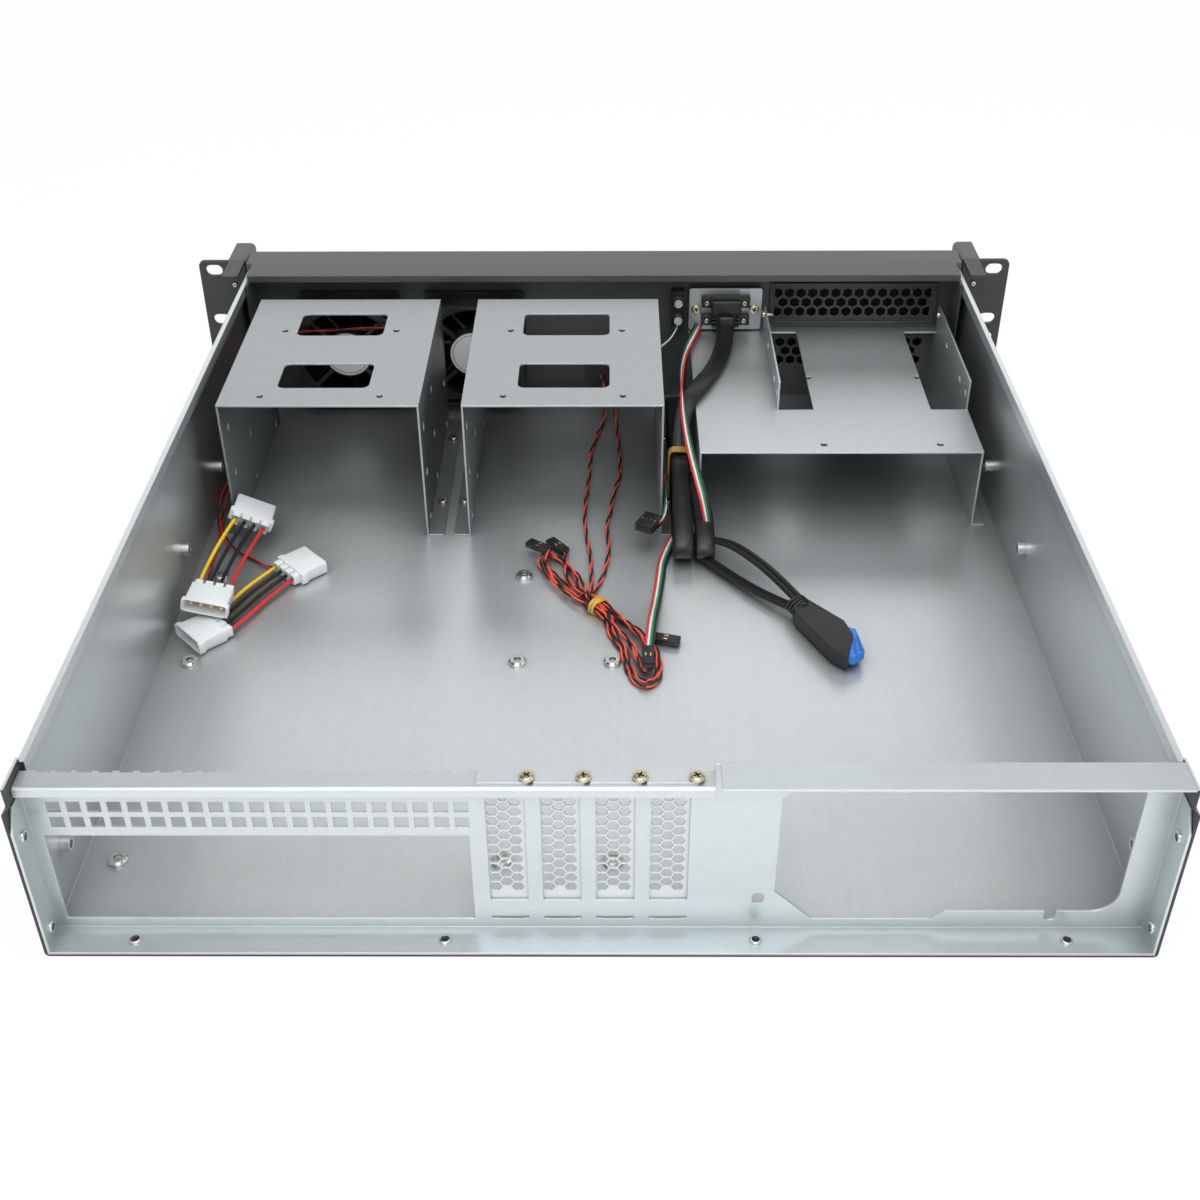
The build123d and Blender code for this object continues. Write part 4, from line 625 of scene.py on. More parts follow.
@dataclass
class Cord:
    """Flexible lead along a smooth curve through its route's points."""

    name: str
    nodes: tuple[str, ...]
    points: Route
    strands: tuple[Strand, ...]
    diameter: float
    length: float
    slot: str
    far_end: str = "connector"
    stiffness: str = "limp"
    lay: str = "loose"
    turns_per_metre: float = 0.0
    across: tuple[tuple[float, Point], ...] = ((0.0, (1.0, 0.0, 0.0)),)
    profile: tuple[tuple[float, float], ...] = ()
    steps: int = 10
    around: int = 8

    def line(self) -> list[Vector]:
        """Points read from the route's NURBS spline."""
        curve = bpy.data.curves.new(self.name + "_route", "CURVE")
        curve.dimensions = "3D"
        spline = curve.splines.new("NURBS")
        spline.points.add(len(self.points) - 1)
        for control, point in zip(spline.points, self.points):
            control.co = (*point, 1.0)
        spline.order_u = 3
        spline.use_endpoint_u = True
        spline.resolution_u = self.steps
        holder = bpy.data.objects.new(self.name + "_route", curve)
        bpy.context.scene.collection.objects.link(holder)
        mesh = bpy.data.meshes.new_from_object(holder)
        found = [vert.co.copy() for vert in mesh.vertices]
        bpy.data.meshes.remove(mesh)
        bpy.data.objects.remove(holder)
        bpy.data.curves.remove(curve)
        return [p for i, p in enumerate(found) if i == 0 or (p - found[i - 1]).length > SAME]

    def frames(self, line: list[Vector]) -> list[tuple[Vector, Vector, float]]:
        """Two directions across the line, and the distance along it, at each point.

        Args:
            line: Points of the line.

        Returns:
            The side, the upper direction and the distance for each point.
        """
        walked = [0.0]
        for before, here in zip(line, line[1:]):
            walked.append(walked[-1] + (here - before).length)
        found = []
        for index, distance in enumerate(walked):
            ahead = line[min(index + 1, len(line) - 1)] - line[max(index - 1, 0)]
            ahead.normalize()
            side = self.side_at(distance / walked[-1])
            side = (side - ahead * side.dot(ahead)).normalized()
            found.append((side, ahead.cross(side), distance))
        return found

    def side_at(self, share: float) -> Vector:
        """Direction across the cord at a share of its length.

        Args:
            share: From 0 at the exit to 1 at the far end.

        Returns:
            The direction, between those given before and after it.
        """
        before = self.across[0]
        for after in self.across:
            if share <= after[0]:
                span = after[0] - before[0]
                part = (share - before[0]) / span if span > 0 else 0.0
                return Vector(before[1]).lerp(Vector(after[1]), part)
            before = after
        return Vector(before[1])

    def tube(self, line: list[Vector], strand: Strand, index: int) -> Piece:
        """Mesh of one strand, closed at both ends.

        Args:
            line: Points of the cord's line.
            strand: The strand to make.
            index: Its number, for its name.

        Returns:
            The object of the strand.
        """
        angles = [2 * math.pi * corner / self.around for corner in range(self.around)]
        circle = [(strand.radius * math.cos(a), strand.radius * math.sin(a)) for a in angles]
        section = self.profile or circle
        count = len(section)
        verts: list[Vector] = []
        for point, (side, upper, distance) in zip(line, self.frames(line)):
            turn = strand.phase + 2 * math.pi * self.turns_per_metre * distance
            middle = point + (side * math.cos(turn) + upper * math.sin(turn)) * strand.across
            verts += [middle + side * a + upper * b for a, b in section]
        faces = []
        for start in range(0, len(verts) - count, count):
            for corner in range(count):
                after = (corner + 1) % count
                faces.append((start + corner, start + after, start + count + after, start + count + corner))
        faces.append(tuple(range(count - 1, -1, -1)))
        faces.append(tuple(range(len(verts) - count, len(verts))))
        mesh = bpy.data.meshes.new(f"{self.name}_{index}")
        mesh.from_pydata(verts, [], faces)
        mesh.polygons.foreach_set("use_smooth", [True] * len(mesh.polygons))
        mesh.materials.append(material(strand.finish))
        piece = bpy.data.objects.new(f"{self.name}_{index}", mesh)
        bpy.context.scene.collection.objects.link(piece)
        return piece

    def build(self, *with_pieces: str) -> None:
        """Args:
            *with_pieces: Names of the pieces that sit on the cord; not used.
        """
        line = self.line()
        made = [self.tube(line, strand, index) for index, strand in enumerate(self.strands)]
        piece = settle(self.name, made, self.slot, *self.nodes)


def wound(radius: float, across: float, step: float, *finishes: Finish) -> tuple[Strand, ...]:
    """Strands wound round each other, at a distance from the line and a step in radians apart."""
    return tuple(Strand(radius, finish, across, step * index) for index, finish in enumerate(finishes))


def side_by_side(radius: float, *finishes: Finish) -> tuple[Strand, ...]:
    """Strands of a ribbon, the first at the far side of the cord's across direction."""
    pitch, middle = RIBBON_PITCH * radius, (len(finishes) - 1) / 2
    return tuple(Strand(radius, f, across=(middle - i) * pitch) for i, f in enumerate(finishes))


def lozenge(width: float, height: float) -> tuple[tuple[float, float], ...]:
    """Outline of a flat cable with rounded sides, anticlockwise.

    Args:
        width: Whole width.
        height: Whole height.

    Returns:
        Its corners.
    """
    radius = height / 2
    flat = width / 2 - radius
    corners = []
    for start, middle in ((-1.4, flat), (1.74, -flat)):
        for angle in (start + 0.7 * step for step in range(5)):
            corners.append((middle + radius * math.cos(angle), radius * math.sin(angle)))
    return tuple(corners)


@dataclass
class Studio:
    """Camera, lamps, white surround and pale floor."""

    position: Point = (-0.003934, 0.641376, 0.453510)
    elevation: float = 35.667
    yaw: float = 0.473
    roll: float = -0.295
    lens: float = 45.847
    sensor: float = 36.0
    floor_size: float = 8.0
    floor_height: float = -0.0004
    floor_glow: float = 0.92
    surround: float = 0.55
    flag_span: tuple[float, float] = (-2.10, 2.0)
    flag_height: float = 2.2
    lamps: tuple[tuple[str, Point, Point, float, float], ...] = (
        ("key", (0.10, 1.05, 1.8), (0.0, 0.0, 0.0), 1.3, 19.0),
        ("top", (-0.1, -0.1, 1.6), (0.0, 0.0, 0.0), 1.2, 8.5),
        ("side", (-1.5, 0.3, 0.9), (0.0, 0.0, 0.05), 1.0, 3.5),
    )

    def camera(self) -> None:
        """Places the camera as in the photograph."""
        elevation, yaw, roll = (math.radians(a) for a in (self.elevation, self.yaw, self.roll))
        level = math.cos(elevation)
        ahead = Vector((math.sin(yaw) * level, -math.cos(yaw) * level, -math.sin(elevation)))
        right = ahead.cross(Vector((0, 0, 1))).normalized()
        up = right.cross(ahead)
        tilted = right * math.cos(roll) + up * math.sin(roll)
        up = up * math.cos(roll) - right * math.sin(roll)
        data = bpy.data.cameras.new("camera")
        data.lens = self.lens
        data.sensor_width = self.sensor
        data.clip_start = 0.01
        holder = bpy.data.objects.new("camera", data)
        matrix = Matrix((tilted, up, -ahead)).transposed().to_4x4()
        matrix.translation = Vector(self.position)
        holder.matrix_world = matrix
        bpy.context.scene.collection.objects.link(holder)
        bpy.context.scene.camera = holder

    def light(self) -> None:
        """Places the soft lamps."""
        for name, place, target, size, power in self.lamps:
            data = bpy.data.lights.new(name, "AREA")
            data.shape = "SQUARE"
            data.size = size
            data.energy = power
            lamp = bpy.data.objects.new(name, data)
            lamp.location = place
            lamp.rotation_euler = (Vector(target) - Vector(place)).to_track_quat("-Z", "Y").to_euler()
            bpy.context.scene.collection.objects.link(lamp)

    def world(self) -> None:
        """Surround that is white to the eye and in reflections, and softer as light."""
        graph = Graph(bpy.data.worlds.new("surround"), "ShaderNodeOutputWorld")
        rays = graph.add("ShaderNodeLightPath").outputs
        seen = graph.math("MAXIMUM", rays["Is Camera Ray"], rays["Is Glossy Ray"])
        seen = graph.math("MAXIMUM", seen, rays["Is Transmission Ray"])
        soft, white = (
            graph.add("ShaderNodeBackground", {"Color": color, "Strength": strength}).outputs[0]
            for color, strength in (((0.96, 0.98, 1.0, 1.0), self.surround), ((1.0, 1.0, 1.0, 1.0), 1.0))
        )
        bpy.context.scene.world = graph.finish(graph.mix(seen, soft, white))

    def plane(self, name: str, depth: float, middle: Point, cloth: bpy.types.Material) -> Piece:
        """Level plane of the studio, as wide as the floor.

        Args:
            name: Name of the plane.
            depth: Its size along Y.
            middle: Its middle.
            cloth: Its material.

        Returns:
            The plane.
        """
        deselect()
        bpy.ops.mesh.primitive_plane_add(size=1.0, location=middle)
        plane = bpy.context.object
        plane.name = name
        plane.scale = (self.floor_size, depth, 1.0)
        bpy.ops.object.transform_apply(location=True, rotation=True, scale=True)
        plane.data.materials.append(cloth)
        return plane

    def ground(self) -> None:
        """Pale floor under the case, which keeps its shadow."""
        graph = Graph(bpy.data.materials.new("studio_floor"))
        cloud = graph.spread(graph.noise(3.0, 2.0), 0.0, 1.0)
        color = graph.blend(cloud, (0.93, 0.93, 0.93), (0.95, 0.95, 0.95))
        matte = graph.add("ShaderNodeBsdfDiffuse", {"Color": color}).outputs[0]
        glow = graph.add("ShaderNodeEmission", {"Color": (1, 1, 1, 1), "Strength": 1.0}).outputs[0]
        eye = graph.add("ShaderNodeLightPath").outputs["Is Camera Ray"]
        cloth = graph.finish(graph.mix(graph.math("MULTIPLY", eye, self.floor_glow), matte, glow))
        self.plane("studio_floor", self.floor_size, (0, 0, self.floor_height), cloth)

    def flag(self) -> None:
        """Dark card overhead, which only reflections see, as in a photo studio."""
        graph = Graph(bpy.data.materials.new("flag_cloth"))
        cloud = graph.spread(graph.noise(4.0, 2.0), 0.0, 1.0)
        color = graph.blend(cloud, (0.05, 0.05, 0.05), (0.08, 0.08, 0.08))
        cloth = graph.finish(graph.add("ShaderNodeEmission", {"Color": color}).outputs[0])
        low, high = self.flag_span
        card = self.plane("overhead_flag", high - low, (0, (low + high) / 2, self.flag_height), cloth)
        card.visible_camera = card.visible_diffuse = False
        card.visible_shadow = card.visible_transmission = False

    def build(self) -> None:
        """Sets up the whole studio."""
        bpy.context.scene.view_settings.view_transform = "Standard"
        self.camera()
        self.light()
        self.world()
        self.ground()
        self.flag()
        log.info("studio: camera, %d lamps, surround and floor", len(self.lamps))


def placed_heads(node: str) -> list[tuple[Matrix, float, float]]:
    """Place, radius and height of every round head in a CAD node.

    Args:
        node: Name of a node whose solids are separate round heads.

    Returns:
        For each head a matrix with Z along its axis, its radius and its height.
    """
    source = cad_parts[node]
    mesh = bmesh.new()
    mesh.from_mesh(source.data)
    mesh.transform(source.matrix_world)
    bmesh.ops.remove_doubles(mesh, verts=mesh.verts, dist=SAME)
    waiting = set(mesh.verts)
    found = []
    while waiting:
        island, edge_of = set(), [waiting.pop()]
        while edge_of:
            vert = edge_of.pop()
            island.add(vert)
            near = {edge.other_vert(vert) for edge in vert.link_edges} & waiting
            waiting -= near
            edge_of += near
        found.append(head_place([vert.co.copy() for vert in island]))
    mesh.free()
    return sorted(found, key=lambda head: tuple(round(part, 5) for part in head[0].translation))


def head_place(points: Sequence[Vector]) -> tuple[Matrix, float, float]:
    """Place, radius and height of one head, whose base is wider than its top.

    Args:
        points: Points of the head.

    Returns:
        A matrix with Z along the head's axis, its radius and its height.
    """
    low = Vector([min(p[i] for p in points) for i in range(3)])
    high = Vector([max(p[i] for p in points) for i in range(3)])
    size = high - low
    axis = min(range(3), key=lambda i: size[i])
    middle = (low + high) / 2
    spread = {}
    for level in (low[axis], high[axis]):
        spread[level] = max((p - middle).length for p in points if abs(p[axis] - level) < 1e-5)
    base = max(spread, key=spread.get)
    start = middle.copy()
    start[axis] = base
    direction = Vector((0, 0, 0))
    direction[axis] = 1.0 if base == low[axis] else -1.0
    place = Matrix.Translation(start) @ direction.to_track_quat("Z", "Y").to_matrix().to_4x4()
    return place, max(size) / 2, min(size)


@dataclass
class CrossHead:
    """Pan head of a screw with a cross recess in painted shade, standing on the origin.

    The recess is given in shares of the radius and of the height.
    """

    radius: float
    height: float
    recess_reach: float = 0.52
    recess_half: float = 0.13
    recess_depth: float = 0.62
    cutter_top: float = 1.2
    rounding: float = 0.45

    def cutter(self) -> Piece:
        """Cross-shaped block, as deep as the recess.

        Returns:
            The block's object.
        """
        reach, half = self.radius * self.recess_reach, self.radius * self.recess_half
        top = self.height * self.cutter_top
        low = top - self.height * self.recess_depth
        # The cutter's faces carry the painted shade, which the boolean passes on to the recess.
        first = Bench.box("cross_a", (-reach, -half, low), (reach, half, top)).coat(RECESS_SHADE).piece
        second = Bench.box("cross_b", (-half, -reach, low), (half, reach, top)).coat(RECESS_SHADE).piece
        deselect()
        first.select_set(True)
        second.select_set(True)
        bpy.context.view_layer.objects.active = first
        bpy.ops.object.join()
        return first

    def build(self) -> Piece:
        """Makes the head once, for copying.

        Returns:
            The head's object.
        """
        cutter = self.cutter()
        bench = Bench.rod("cross_head", self.radius, self.height, 0.0, HEAD_SIDES)
        bench.round_top(self.height * TOP, self.height * self.rounding).coat(GOLD_STEEL).coat(RECESS_SHADE)
        cut = bench.piece.modifiers.new("cross", "BOOLEAN")
        cut.operation, cut.solver, cut.object = "DIFFERENCE", "EXACT", cutter
        cut.use_self = True
        cut.material_mode = "TRANSFER"
        bpy.ops.object.modifier_apply(modifier=cut.name)
        bpy.data.objects.remove(cutter)
        return bench.smooth(degrees=35).piece


@dataclass
class SunkenRivet:
    """Rivet head with a sunken middle in painted shade, standing on the origin."""

    radius: float
    height: float
    rounding: float = 0.6
    rim: float = 0.08
    hole: float = 0.9

    def build(self) -> Piece:
        """Makes the rivet once, for copying.

        Returns:
            The rivet's object.
        """
        bench = Bench.rod("sunken_rivet", self.radius, self.height, 0.0, HEAD_SIDES)
        bench.round_top(self.height * TOP, self.height * self.rounding).coat(ZINC_NUT)
        bench.pick(Pick.FACES, lambda c, n: n.z > STRAIGHT and c.xy.length < self.radius * 0.2)
        # The sunken middle gets the painted shade.
        bench.inset(self.radius * self.rim).extrude((0, 0, -self.height * self.hole)).paint(RECESS_SHADE)
        return bench.smooth(degrees=35).piece


@dataclass
class Fasteners:
    """Screws and rivets, in the places of the CAD heads, and the bay bracket's wall screws."""

    turn_step: float = 37.0
    wall_head: tuple[float, float] = (0.0021, 0.0013)
    wall_heads: Route = ((-0.0958, -0.1990, 0.0600), (-0.1998, -0.1990, 0.0594))
    wall_end: Point = (-0.0968, -0.1990, 0.0600)
    wall_end_size: tuple[float, float] = (0.0012, 0.0042)

    def wall_screws(self) -> None:
        """Small screws through the upright walls of the bay bracket, close to the front panel."""
        template = CrossHead(*self.wall_head).build()
        parts = []
        for index, head in enumerate(self.wall_heads):
            place = Matrix.Translation(head) @ turned(90, "Y")
            parts.append(copy_at(template, f"wall_screw_{index}", place))
        bpy.data.objects.remove(template)
        radius, length = self.wall_end_size
        end = Bench.rod("wall_screw_end", radius, length, 0.0, sides=20)
        end.round_top(length * TOP, width=0.0004, segments=2).coat(GOLD_STEEL).smooth(degrees=35)
        parts.append(end.put(Matrix.Translation(self.wall_end) @ turned(-90, "Y")))
        settle("bay_wall_screws", parts, "gold_screw")

    def set_of(self, node: str, name: str, slot: str, make: Callable[[float, float], Any]) -> None:
        """Copies one head to every place of a CAD node and joins the copies.

        Args:
            node: CAD node of the heads.
            name: Name of the piece.
            slot: Material slot; not used.
            make: Class of the head, which takes its radius and height.
        """
        heads = placed_heads(node)
        template = make(*heads[0][1:]).build()
        copies = []
        for index, (place, _, _) in enumerate(heads):
            copies.append(copy_at(template, f"{name}_{index}", place @ turned(index * self.turn_step)))
        bpy.data.objects.remove(template)
        settle(name, copies, slot, node)

    def build(self) -> None:
        """Makes all screws and rivets."""
        self.set_of("case_screws", "cross_head_screws", "gold_screw", CrossHead)
        self.set_of("small_screws", "small_cross_screws", "gold_screw", CrossHead)
        self.set_of("rear_rivets", "sunken_rivets", "fastener", SunkenRivet)
        self.wall_screws()


@dataclass
class PowerPlug:
    """White four-pole plug: body, side ears, wire sleeves and contacts, in its own frame.

    The pin and the socket are given by radius, length and the place of the tip.
    """

    number: int
    position: Point
    yaw: float
    roll: float
    hood: bool
    half_width: float = 0.0105
    half_height: float = 0.0035
    rear: float = -0.006
    front: float = 0.010
    corner: float = 0.0011
    ear: float = 0.0012
    ear_length: float = 0.0035
    wall: float = 0.0010
    mouth_in_face: float = 0.0006
    mouth_in_hood: float = 0.0115
    poles: int = 4
    pitch: float = 0.00508
    sleeve: Point = (0.0020, 0.0040, 0.0026)
    sleeve_hole: tuple[float, float] = (0.0006, 0.003)
    overlap: float = 0.0002
    rounding: float = 0.0005
    pin: Point = (0.00105, 0.009, 0.007)
    socket: Point = (0.0017, 0.003, 0.010)
    socket_hole: tuple[float, float] = (0.0006, 0.0022)
    softening: float = 0.00025

    def pole_places(self) -> list[float]:
        """Places of the poles along X."""
        return [(pole - (self.poles - 1) / 2) * self.pitch for pole in range(self.poles)]

    def body(self) -> Piece:
        """Body with its ears and the mouth, deep on a hood.

        Returns:
            The body's object.
        """
        width, height = self.half_width, self.half_height
        low, high = (-width, self.rear, -height), (width, self.front, height)
        bench = Bench.box(f"plug_body_{self.number}", low, high)
        bench.pick(Pick.EDGES, lambda c, d: abs(d.y) > STRAIGHT).bevel(self.corner)
        low = self.front - self.ear_length if self.hood else self.rear
        high = low + self.ear_length
        bench.everything()
        bpy.ops.mesh.bisect(plane_co=(0, low if self.hood else high, 0), plane_no=(0, 1, 0))
        for way in (-1.0, 1.0):
            bench.pick(Pick.FACES, lambda c, n: n.x * way > STRAIGHT and low < c.y < high)
            bench.extrude((way * self.ear, 0, 0))
        front = self.front - 1e-5
        bench.pick(Pick.FACES, lambda c, n: n.y > STRAIGHT and c.y > front and abs(c.x) < width / 2)
        bench.inset(self.wall, self.mouth_in_hood if self.hood else self.mouth_in_face)
        return bench.coat(NYLON).soften(self.softening).smooth().piece

    def sleeves(self) -> list[Piece]:
        """Open sleeves where the wires enter.

        Returns:
            Their objects.
        """
        made = []
        half, length, height = self.sleeve
        for pole, x in enumerate(self.pole_places()):
            low = (x - half, self.rear - length, -height)
            high = (x + half, self.rear + self.overlap, height)
            bench = Bench.box(f"plug_sleeve_{self.number}_{pole}", low, high)
            bench.pick(Pick.EDGES, lambda c, d: abs(d.y) > STRAIGHT).bevel(self.rounding)
            bench.pick(Pick.FACES, lambda c, n: n.y < -STRAIGHT).inset(*self.sleeve_hole)
            made.append(bench.coat(NYLON).smooth().piece)
        return made

    def contacts(self) -> list[Piece]:
        """Round pins in the hood, or round sockets in the plain face.

        Returns:
            Their objects.
        """
        made = []
        radius, length, tip = self.pin if self.hood else self.socket
        for pole, x in enumerate(self.pole_places()):
            bench = Bench.rod(f"plug_contact_{self.number}_{pole}", radius, length, -length / 2, sides=16)
            if self.hood:
                bench.round_top(0.0, self.rounding)
            else:
                bench.pick(Pick.FACES, lambda c, n: n.z > STRAIGHT).inset(*self.socket_hole)
            bench.coat(PIN_GOLD if self.hood else NYLON).smooth()
            made.append(bench.put(Matrix.Translation((x, tip - length / 2, 0)) @ turned(-90, "X")))
        return made

    def build(self) -> None:
        """Joins the plug's parts and puts it in its place."""
        parts = [self.body(), *self.sleeves(), *self.contacts()]
        place = Matrix.Translation(self.position) @ turned(self.yaw) @ turned(self.roll, "Y")
        settle(f"white_plug_{self.number}", parts, "white_nylon", f"power_plug_{self.number}", place=place)


@dataclass
class SmallConnector:
    """Black connector of a thin lead: open ends, and its contacts' windows on top."""

    name: str
    position: Point
    turn: float
    size: Point = (0.014, 0.0056, 0.0028)
    windows: int = 2
    window: tuple[float, float] = (0.0022, 0.0007)
    rounding: float = 0.0003
    wall: float = 0.0006
    opening: float = 0.0007
    sunk: float = 0.0002
    proud: float = 0.00012
    margin: float = 0.3
    window_corner: float = 0.3

    def build(self) -> None:
        """Makes the connector in its place."""
        half = [part / 2 for part in self.size]
        bench = Bench.box(self.name, [-part for part in half], half)
        bench.pick(Pick.EDGES, lambda c, d: True).bevel(self.rounding)
        bench.pick(Pick.FACES, lambda c, n: abs(n.x) > STRAIGHT and abs(c.x) > half[0] * 0.99)
        parts = [bench.inset(self.wall, self.opening).coat(BLACK_PLASTIC).smooth().piece]
        step = self.size[1] / (self.windows + self.margin)
        length, width = (part / 2 for part in self.window)
        for index in range(self.windows):
            y = (index - (self.windows - 1) / 2) * step
            low = (-length, y - width, half[2] - self.sunk)
            tab = Bench.box(f"{self.name}_contact_{index}", low, (length, y + width, half[2] + self.proud))
            tab.pick(Pick.EDGES, lambda c, d: abs(d.z) > STRAIGHT).bevel(self.window[1] * self.window_corner)
            parts.append(tab.coat(PIN_GOLD).piece)
        place = Matrix.Translation(self.position) @ turned(self.turn)
        settle(self.name, parts, "fan_plastic", "pin_connectors", place=place)


@dataclass
class WrappedBand:
    """Yellow rubber band, wrapped several times round a bundle."""

    name: str
    position: Point
    turn: float
    half_width: float
    half_height: float
    corner: float
    wraps: int = 4
    spacing: float = 0.0011
    thickness: float = 0.00058
    slack: float = 0.0002
    tilts: tuple[float, ...] = (-5.0, 4.0, -2.0, 6.0)

    def build(self) -> None:
        """Makes the wraps in their place."""
        made = []
        for index in range(self.wraps):
            loose = self.slack * (index % 2)
            bench = Bench.ring(f"{self.name}_{index}", self.corner, self.thickness, sides=36, around=8)
            for way in (-1.0, 1.0):
                bench.pick(Pick.VERTS, lambda c, n: c.x * way > SAME)
                bpy.ops.transform.translate(value=(way * (self.half_width - self.corner + loose), 0, 0))
                bench.pick(Pick.VERTS, lambda c, n: c.y * way > SAME)
                bpy.ops.transform.translate(value=(0, way * (self.half_height - self.corner + loose), 0))
            bench.coat(BAND).smooth(degrees=60)
            slide = Matrix.Translation((0, 0, (index - (self.wraps - 1) / 2) * self.spacing))
            made.append(bench.put(slide @ turned(self.tilts[index % len(self.tilts)], "Y")))
        place = Matrix.Translation(self.position) @ turned(self.turn) @ turned(90, "X")
        settle(self.name, made, "band", "rubber_bands", place=place)


@dataclass
class Connectors:
    """Every plug, connector and band that a lead ends on or runs through."""

    plugs: tuple[tuple[Point, float, float], ...] = (
        ((0.1856, -0.0420, 0.0188), 180.6, 24.0),
        ((0.1944, 0.0271, 0.0142), -3.6, -11.0),
        ((0.1576, -0.0140, 0.0048), 133.0, 0.0),
        ((0.1948, 0.0422, 0.0048), -47.0, 0.0),
    )
    small: tuple[tuple[Any, ...], ...] = (
        ("pin_connector_left", (0.0336, -0.0276, 0.0080), -35.0),
        ("pin_connector_right", (0.0240, -0.0350, 0.0034), -52.0),
        ("pin_connector_ribbon", (-0.0219, 0.0680, 0.0092), 88.0),
        ("pin_connector_spare", (-0.0310, 0.0470, 0.0034), 165.0),
        ("header_connector", (-0.0243, -0.0364, 0.0170), 61.0, (0.013, 0.010, 0.005), 4, (0.0008, 0.0008)),
    )
    bands: tuple[tuple[Any, ...], ...] = (
        ("band_on_hank", (0.0024, 0.0204, 0.00425), 45.0, 0.0048, 0.0034, 0.0032),
        ("band_on_fold", (-0.0419, -0.0830, 0.0212), 0.0, 0.0059, 0.0134, 0.0035, 5),
    )

    def build(self) -> None:
        """Makes the plugs, the connectors and both bands."""
        for index, (position, yaw, roll) in enumerate(self.plugs):
            PowerPlug(index + 1, position, yaw, roll, hood=index % 2 == 1).build()
        for values in self.small:
            SmallConnector(*values).build()
        for values in self.bands:
            WrappedBand(*values).build()


@dataclass
class PortParts:
    """Twin port's moulding behind its plate, and the angled plug at the end of the cable.

    The moulding's blocks are the upper one, the core, the tongue and the mouth, each by its lowest and
    highest corner from the port's middle and its rounding.
    """

    middle: Point = (-0.0728, -0.2040, 0.0612)
    lug: Point = (0.0066, 0.0040, 0.0066)
    lug_pitch: tuple[float, float] = (0.0222, 0.0112)
    lug_rounding: float = 0.0006
    blocks: tuple[tuple[Point, Point, float], ...] = (
        ((-0.0088, 0.0, 0.0012), (0.0088, 0.0108, 0.0096), 0.0012),
        ((-0.0060, 0.0, -0.0092), (0.0060, 0.0085, 0.0030), 0.0007),
        ((-0.0046, 0.0050, -0.0105), (0.0046, 0.0128, 0.0002), 0.0014),
        ((-0.0072, -0.0058, -0.0054), (0.0072, 0.0001, 0.0054), 0.0004),
    )
    ribs: int = 4
    rib: Point = (0.0082, 0.0078, 0.0013)
    rib_start: float = -0.0084
    rib_pitch: float = 0.0024
    rib_rounding: float = 0.0003
    neck_start: Point = (-0.0959, 0.0227, 0.0080)
    neck_turn: float = 29.9
    neck_ring: tuple[float, float] = (0.0041, 0.0007)
    neck_widened: float = 1.25
    rings: tuple[float, ...] = (0.0012, 0.0034, 0.0056)
    slot_block: tuple[Point, Point] = ((-0.00075, -0.00038, -0.00015), (0.00075, 0.00038, 0.00006))
    slots_in_row: int = 9
    slot_rows: tuple[tuple[Point, Point], ...] = (
        ((-0.12270, 0.0535, 0.0098), (-0.12345, 0.0645, 0.0098)),
        ((-0.12085, 0.0555, 0.0098), (-0.12030, 0.0670, 0.0098)),
    )

    def block(self, name: str, low: Point, high: Point, rounding: float) -> Piece:
        """Rounded block, from two corners measured from the port's middle.

        Args:
            name: Name of the block.
            low: Its lowest corner.
            high: Its highest corner.
            rounding: Width of its rounded edges.

        Returns:
            The block's object.
        """
        corners = [Vector(corner) + Vector(self.middle) for corner in (low, high)]
        bench = Bench.box(name, *corners).pick(Pick.EDGES, lambda c, d: True).bevel(rounding, 3)
        return bench.coat(BLACK_PLASTIC).smooth().piece

    def moulding(self) -> None:
        """Blocks, lugs and ribs of the port, as one piece."""
        forms = list(self.blocks)
        width, depth, height = self.lug
        for across in (-0.5, 0.5):
            for up in (-0.5, 0.5):
                x, z = across * self.lug_pitch[0], up * self.lug_pitch[1]
                low, high = (x - width / 2, 0.0, z - height / 2), (x + width / 2, depth, z + height / 2)
                forms.append((low, high, self.lug_rounding))
        half, depth, height = self.rib
        for index in range(self.ribs):
            z = self.rib_start + index * self.rib_pitch
            forms.append(((-half, 0.0, z), (half, depth, z + height), self.rib_rounding))
        parts = [self.block(f"port_block_{index}", *form) for index, form in enumerate(forms)]
        settle("port_moulding", parts, "fan_plastic", "port_housing")

    def boot(self) -> None:
        """Angled boot with rounded edges and the rings of its strain relief."""
        body = Bench.copy_of("port_plug_boot", "boot_body").coat(BLACK_PLASTIC).soften(0.0011, 3)
        parts = [body.smooth().piece]
        turn = turned(self.neck_turn)
        for index, distance in enumerate(self.rings):
            ring = Bench.ring(f"boot_ring_{index}", *self.neck_ring, sides=32, around=10).everything()
            bpy.ops.transform.resize(value=(self.neck_widened, 1.0, 1.0), center_override=(0, 0, 0))
            middle = Vector(self.neck_start) + turn @ Vector((0.0, distance, 0.0))
            place = Matrix.Translation(middle) @ turn @ turned(-90, "X")
            parts.append(ring.coat(BLACK_PLASTIC).smooth(degrees=60).put(place))
        settle("cable_boot", parts, "fan_plastic", "port_plug_boot")

    def slots(self) -> list[Piece]:
        """Two rows of small contact slots on top of the insert, dark blue as painted shade in their
        openings.

        Returns:
            Their objects.
        """
        first = Bench.box("contact_slot", *self.slot_block).pick(Pick.FACES, lambda c, n: n.z > STRAIGHT)
        template = first.inset(thickness=0.00012, depth=-0.00006).coat(BLUE_SLOT_SHADE).piece
        made = []
        for row, (start, end) in enumerate(self.slot_rows):
            for step in range(self.slots_in_row):
                place = Vector(start).lerp(Vector(end), step / (self.slots_in_row - 1))
                made.append(copy_at(template, f"contact_slot_{row}_{step}", Matrix.Translation(place)))
        bpy.data.objects.remove(template)
        return made

    def build(self) -> None:
        """Makes the moulding, the boot and the plug's insert."""
        self.moulding()
        self.boot()
        insert = Bench.copy_of("port_plug", "blue_plug").coat(BLUE).soften(0.0004).smooth().piece
        settle("blue_plug", [insert, *self.slots()], "blue_plastic", "port_plug")


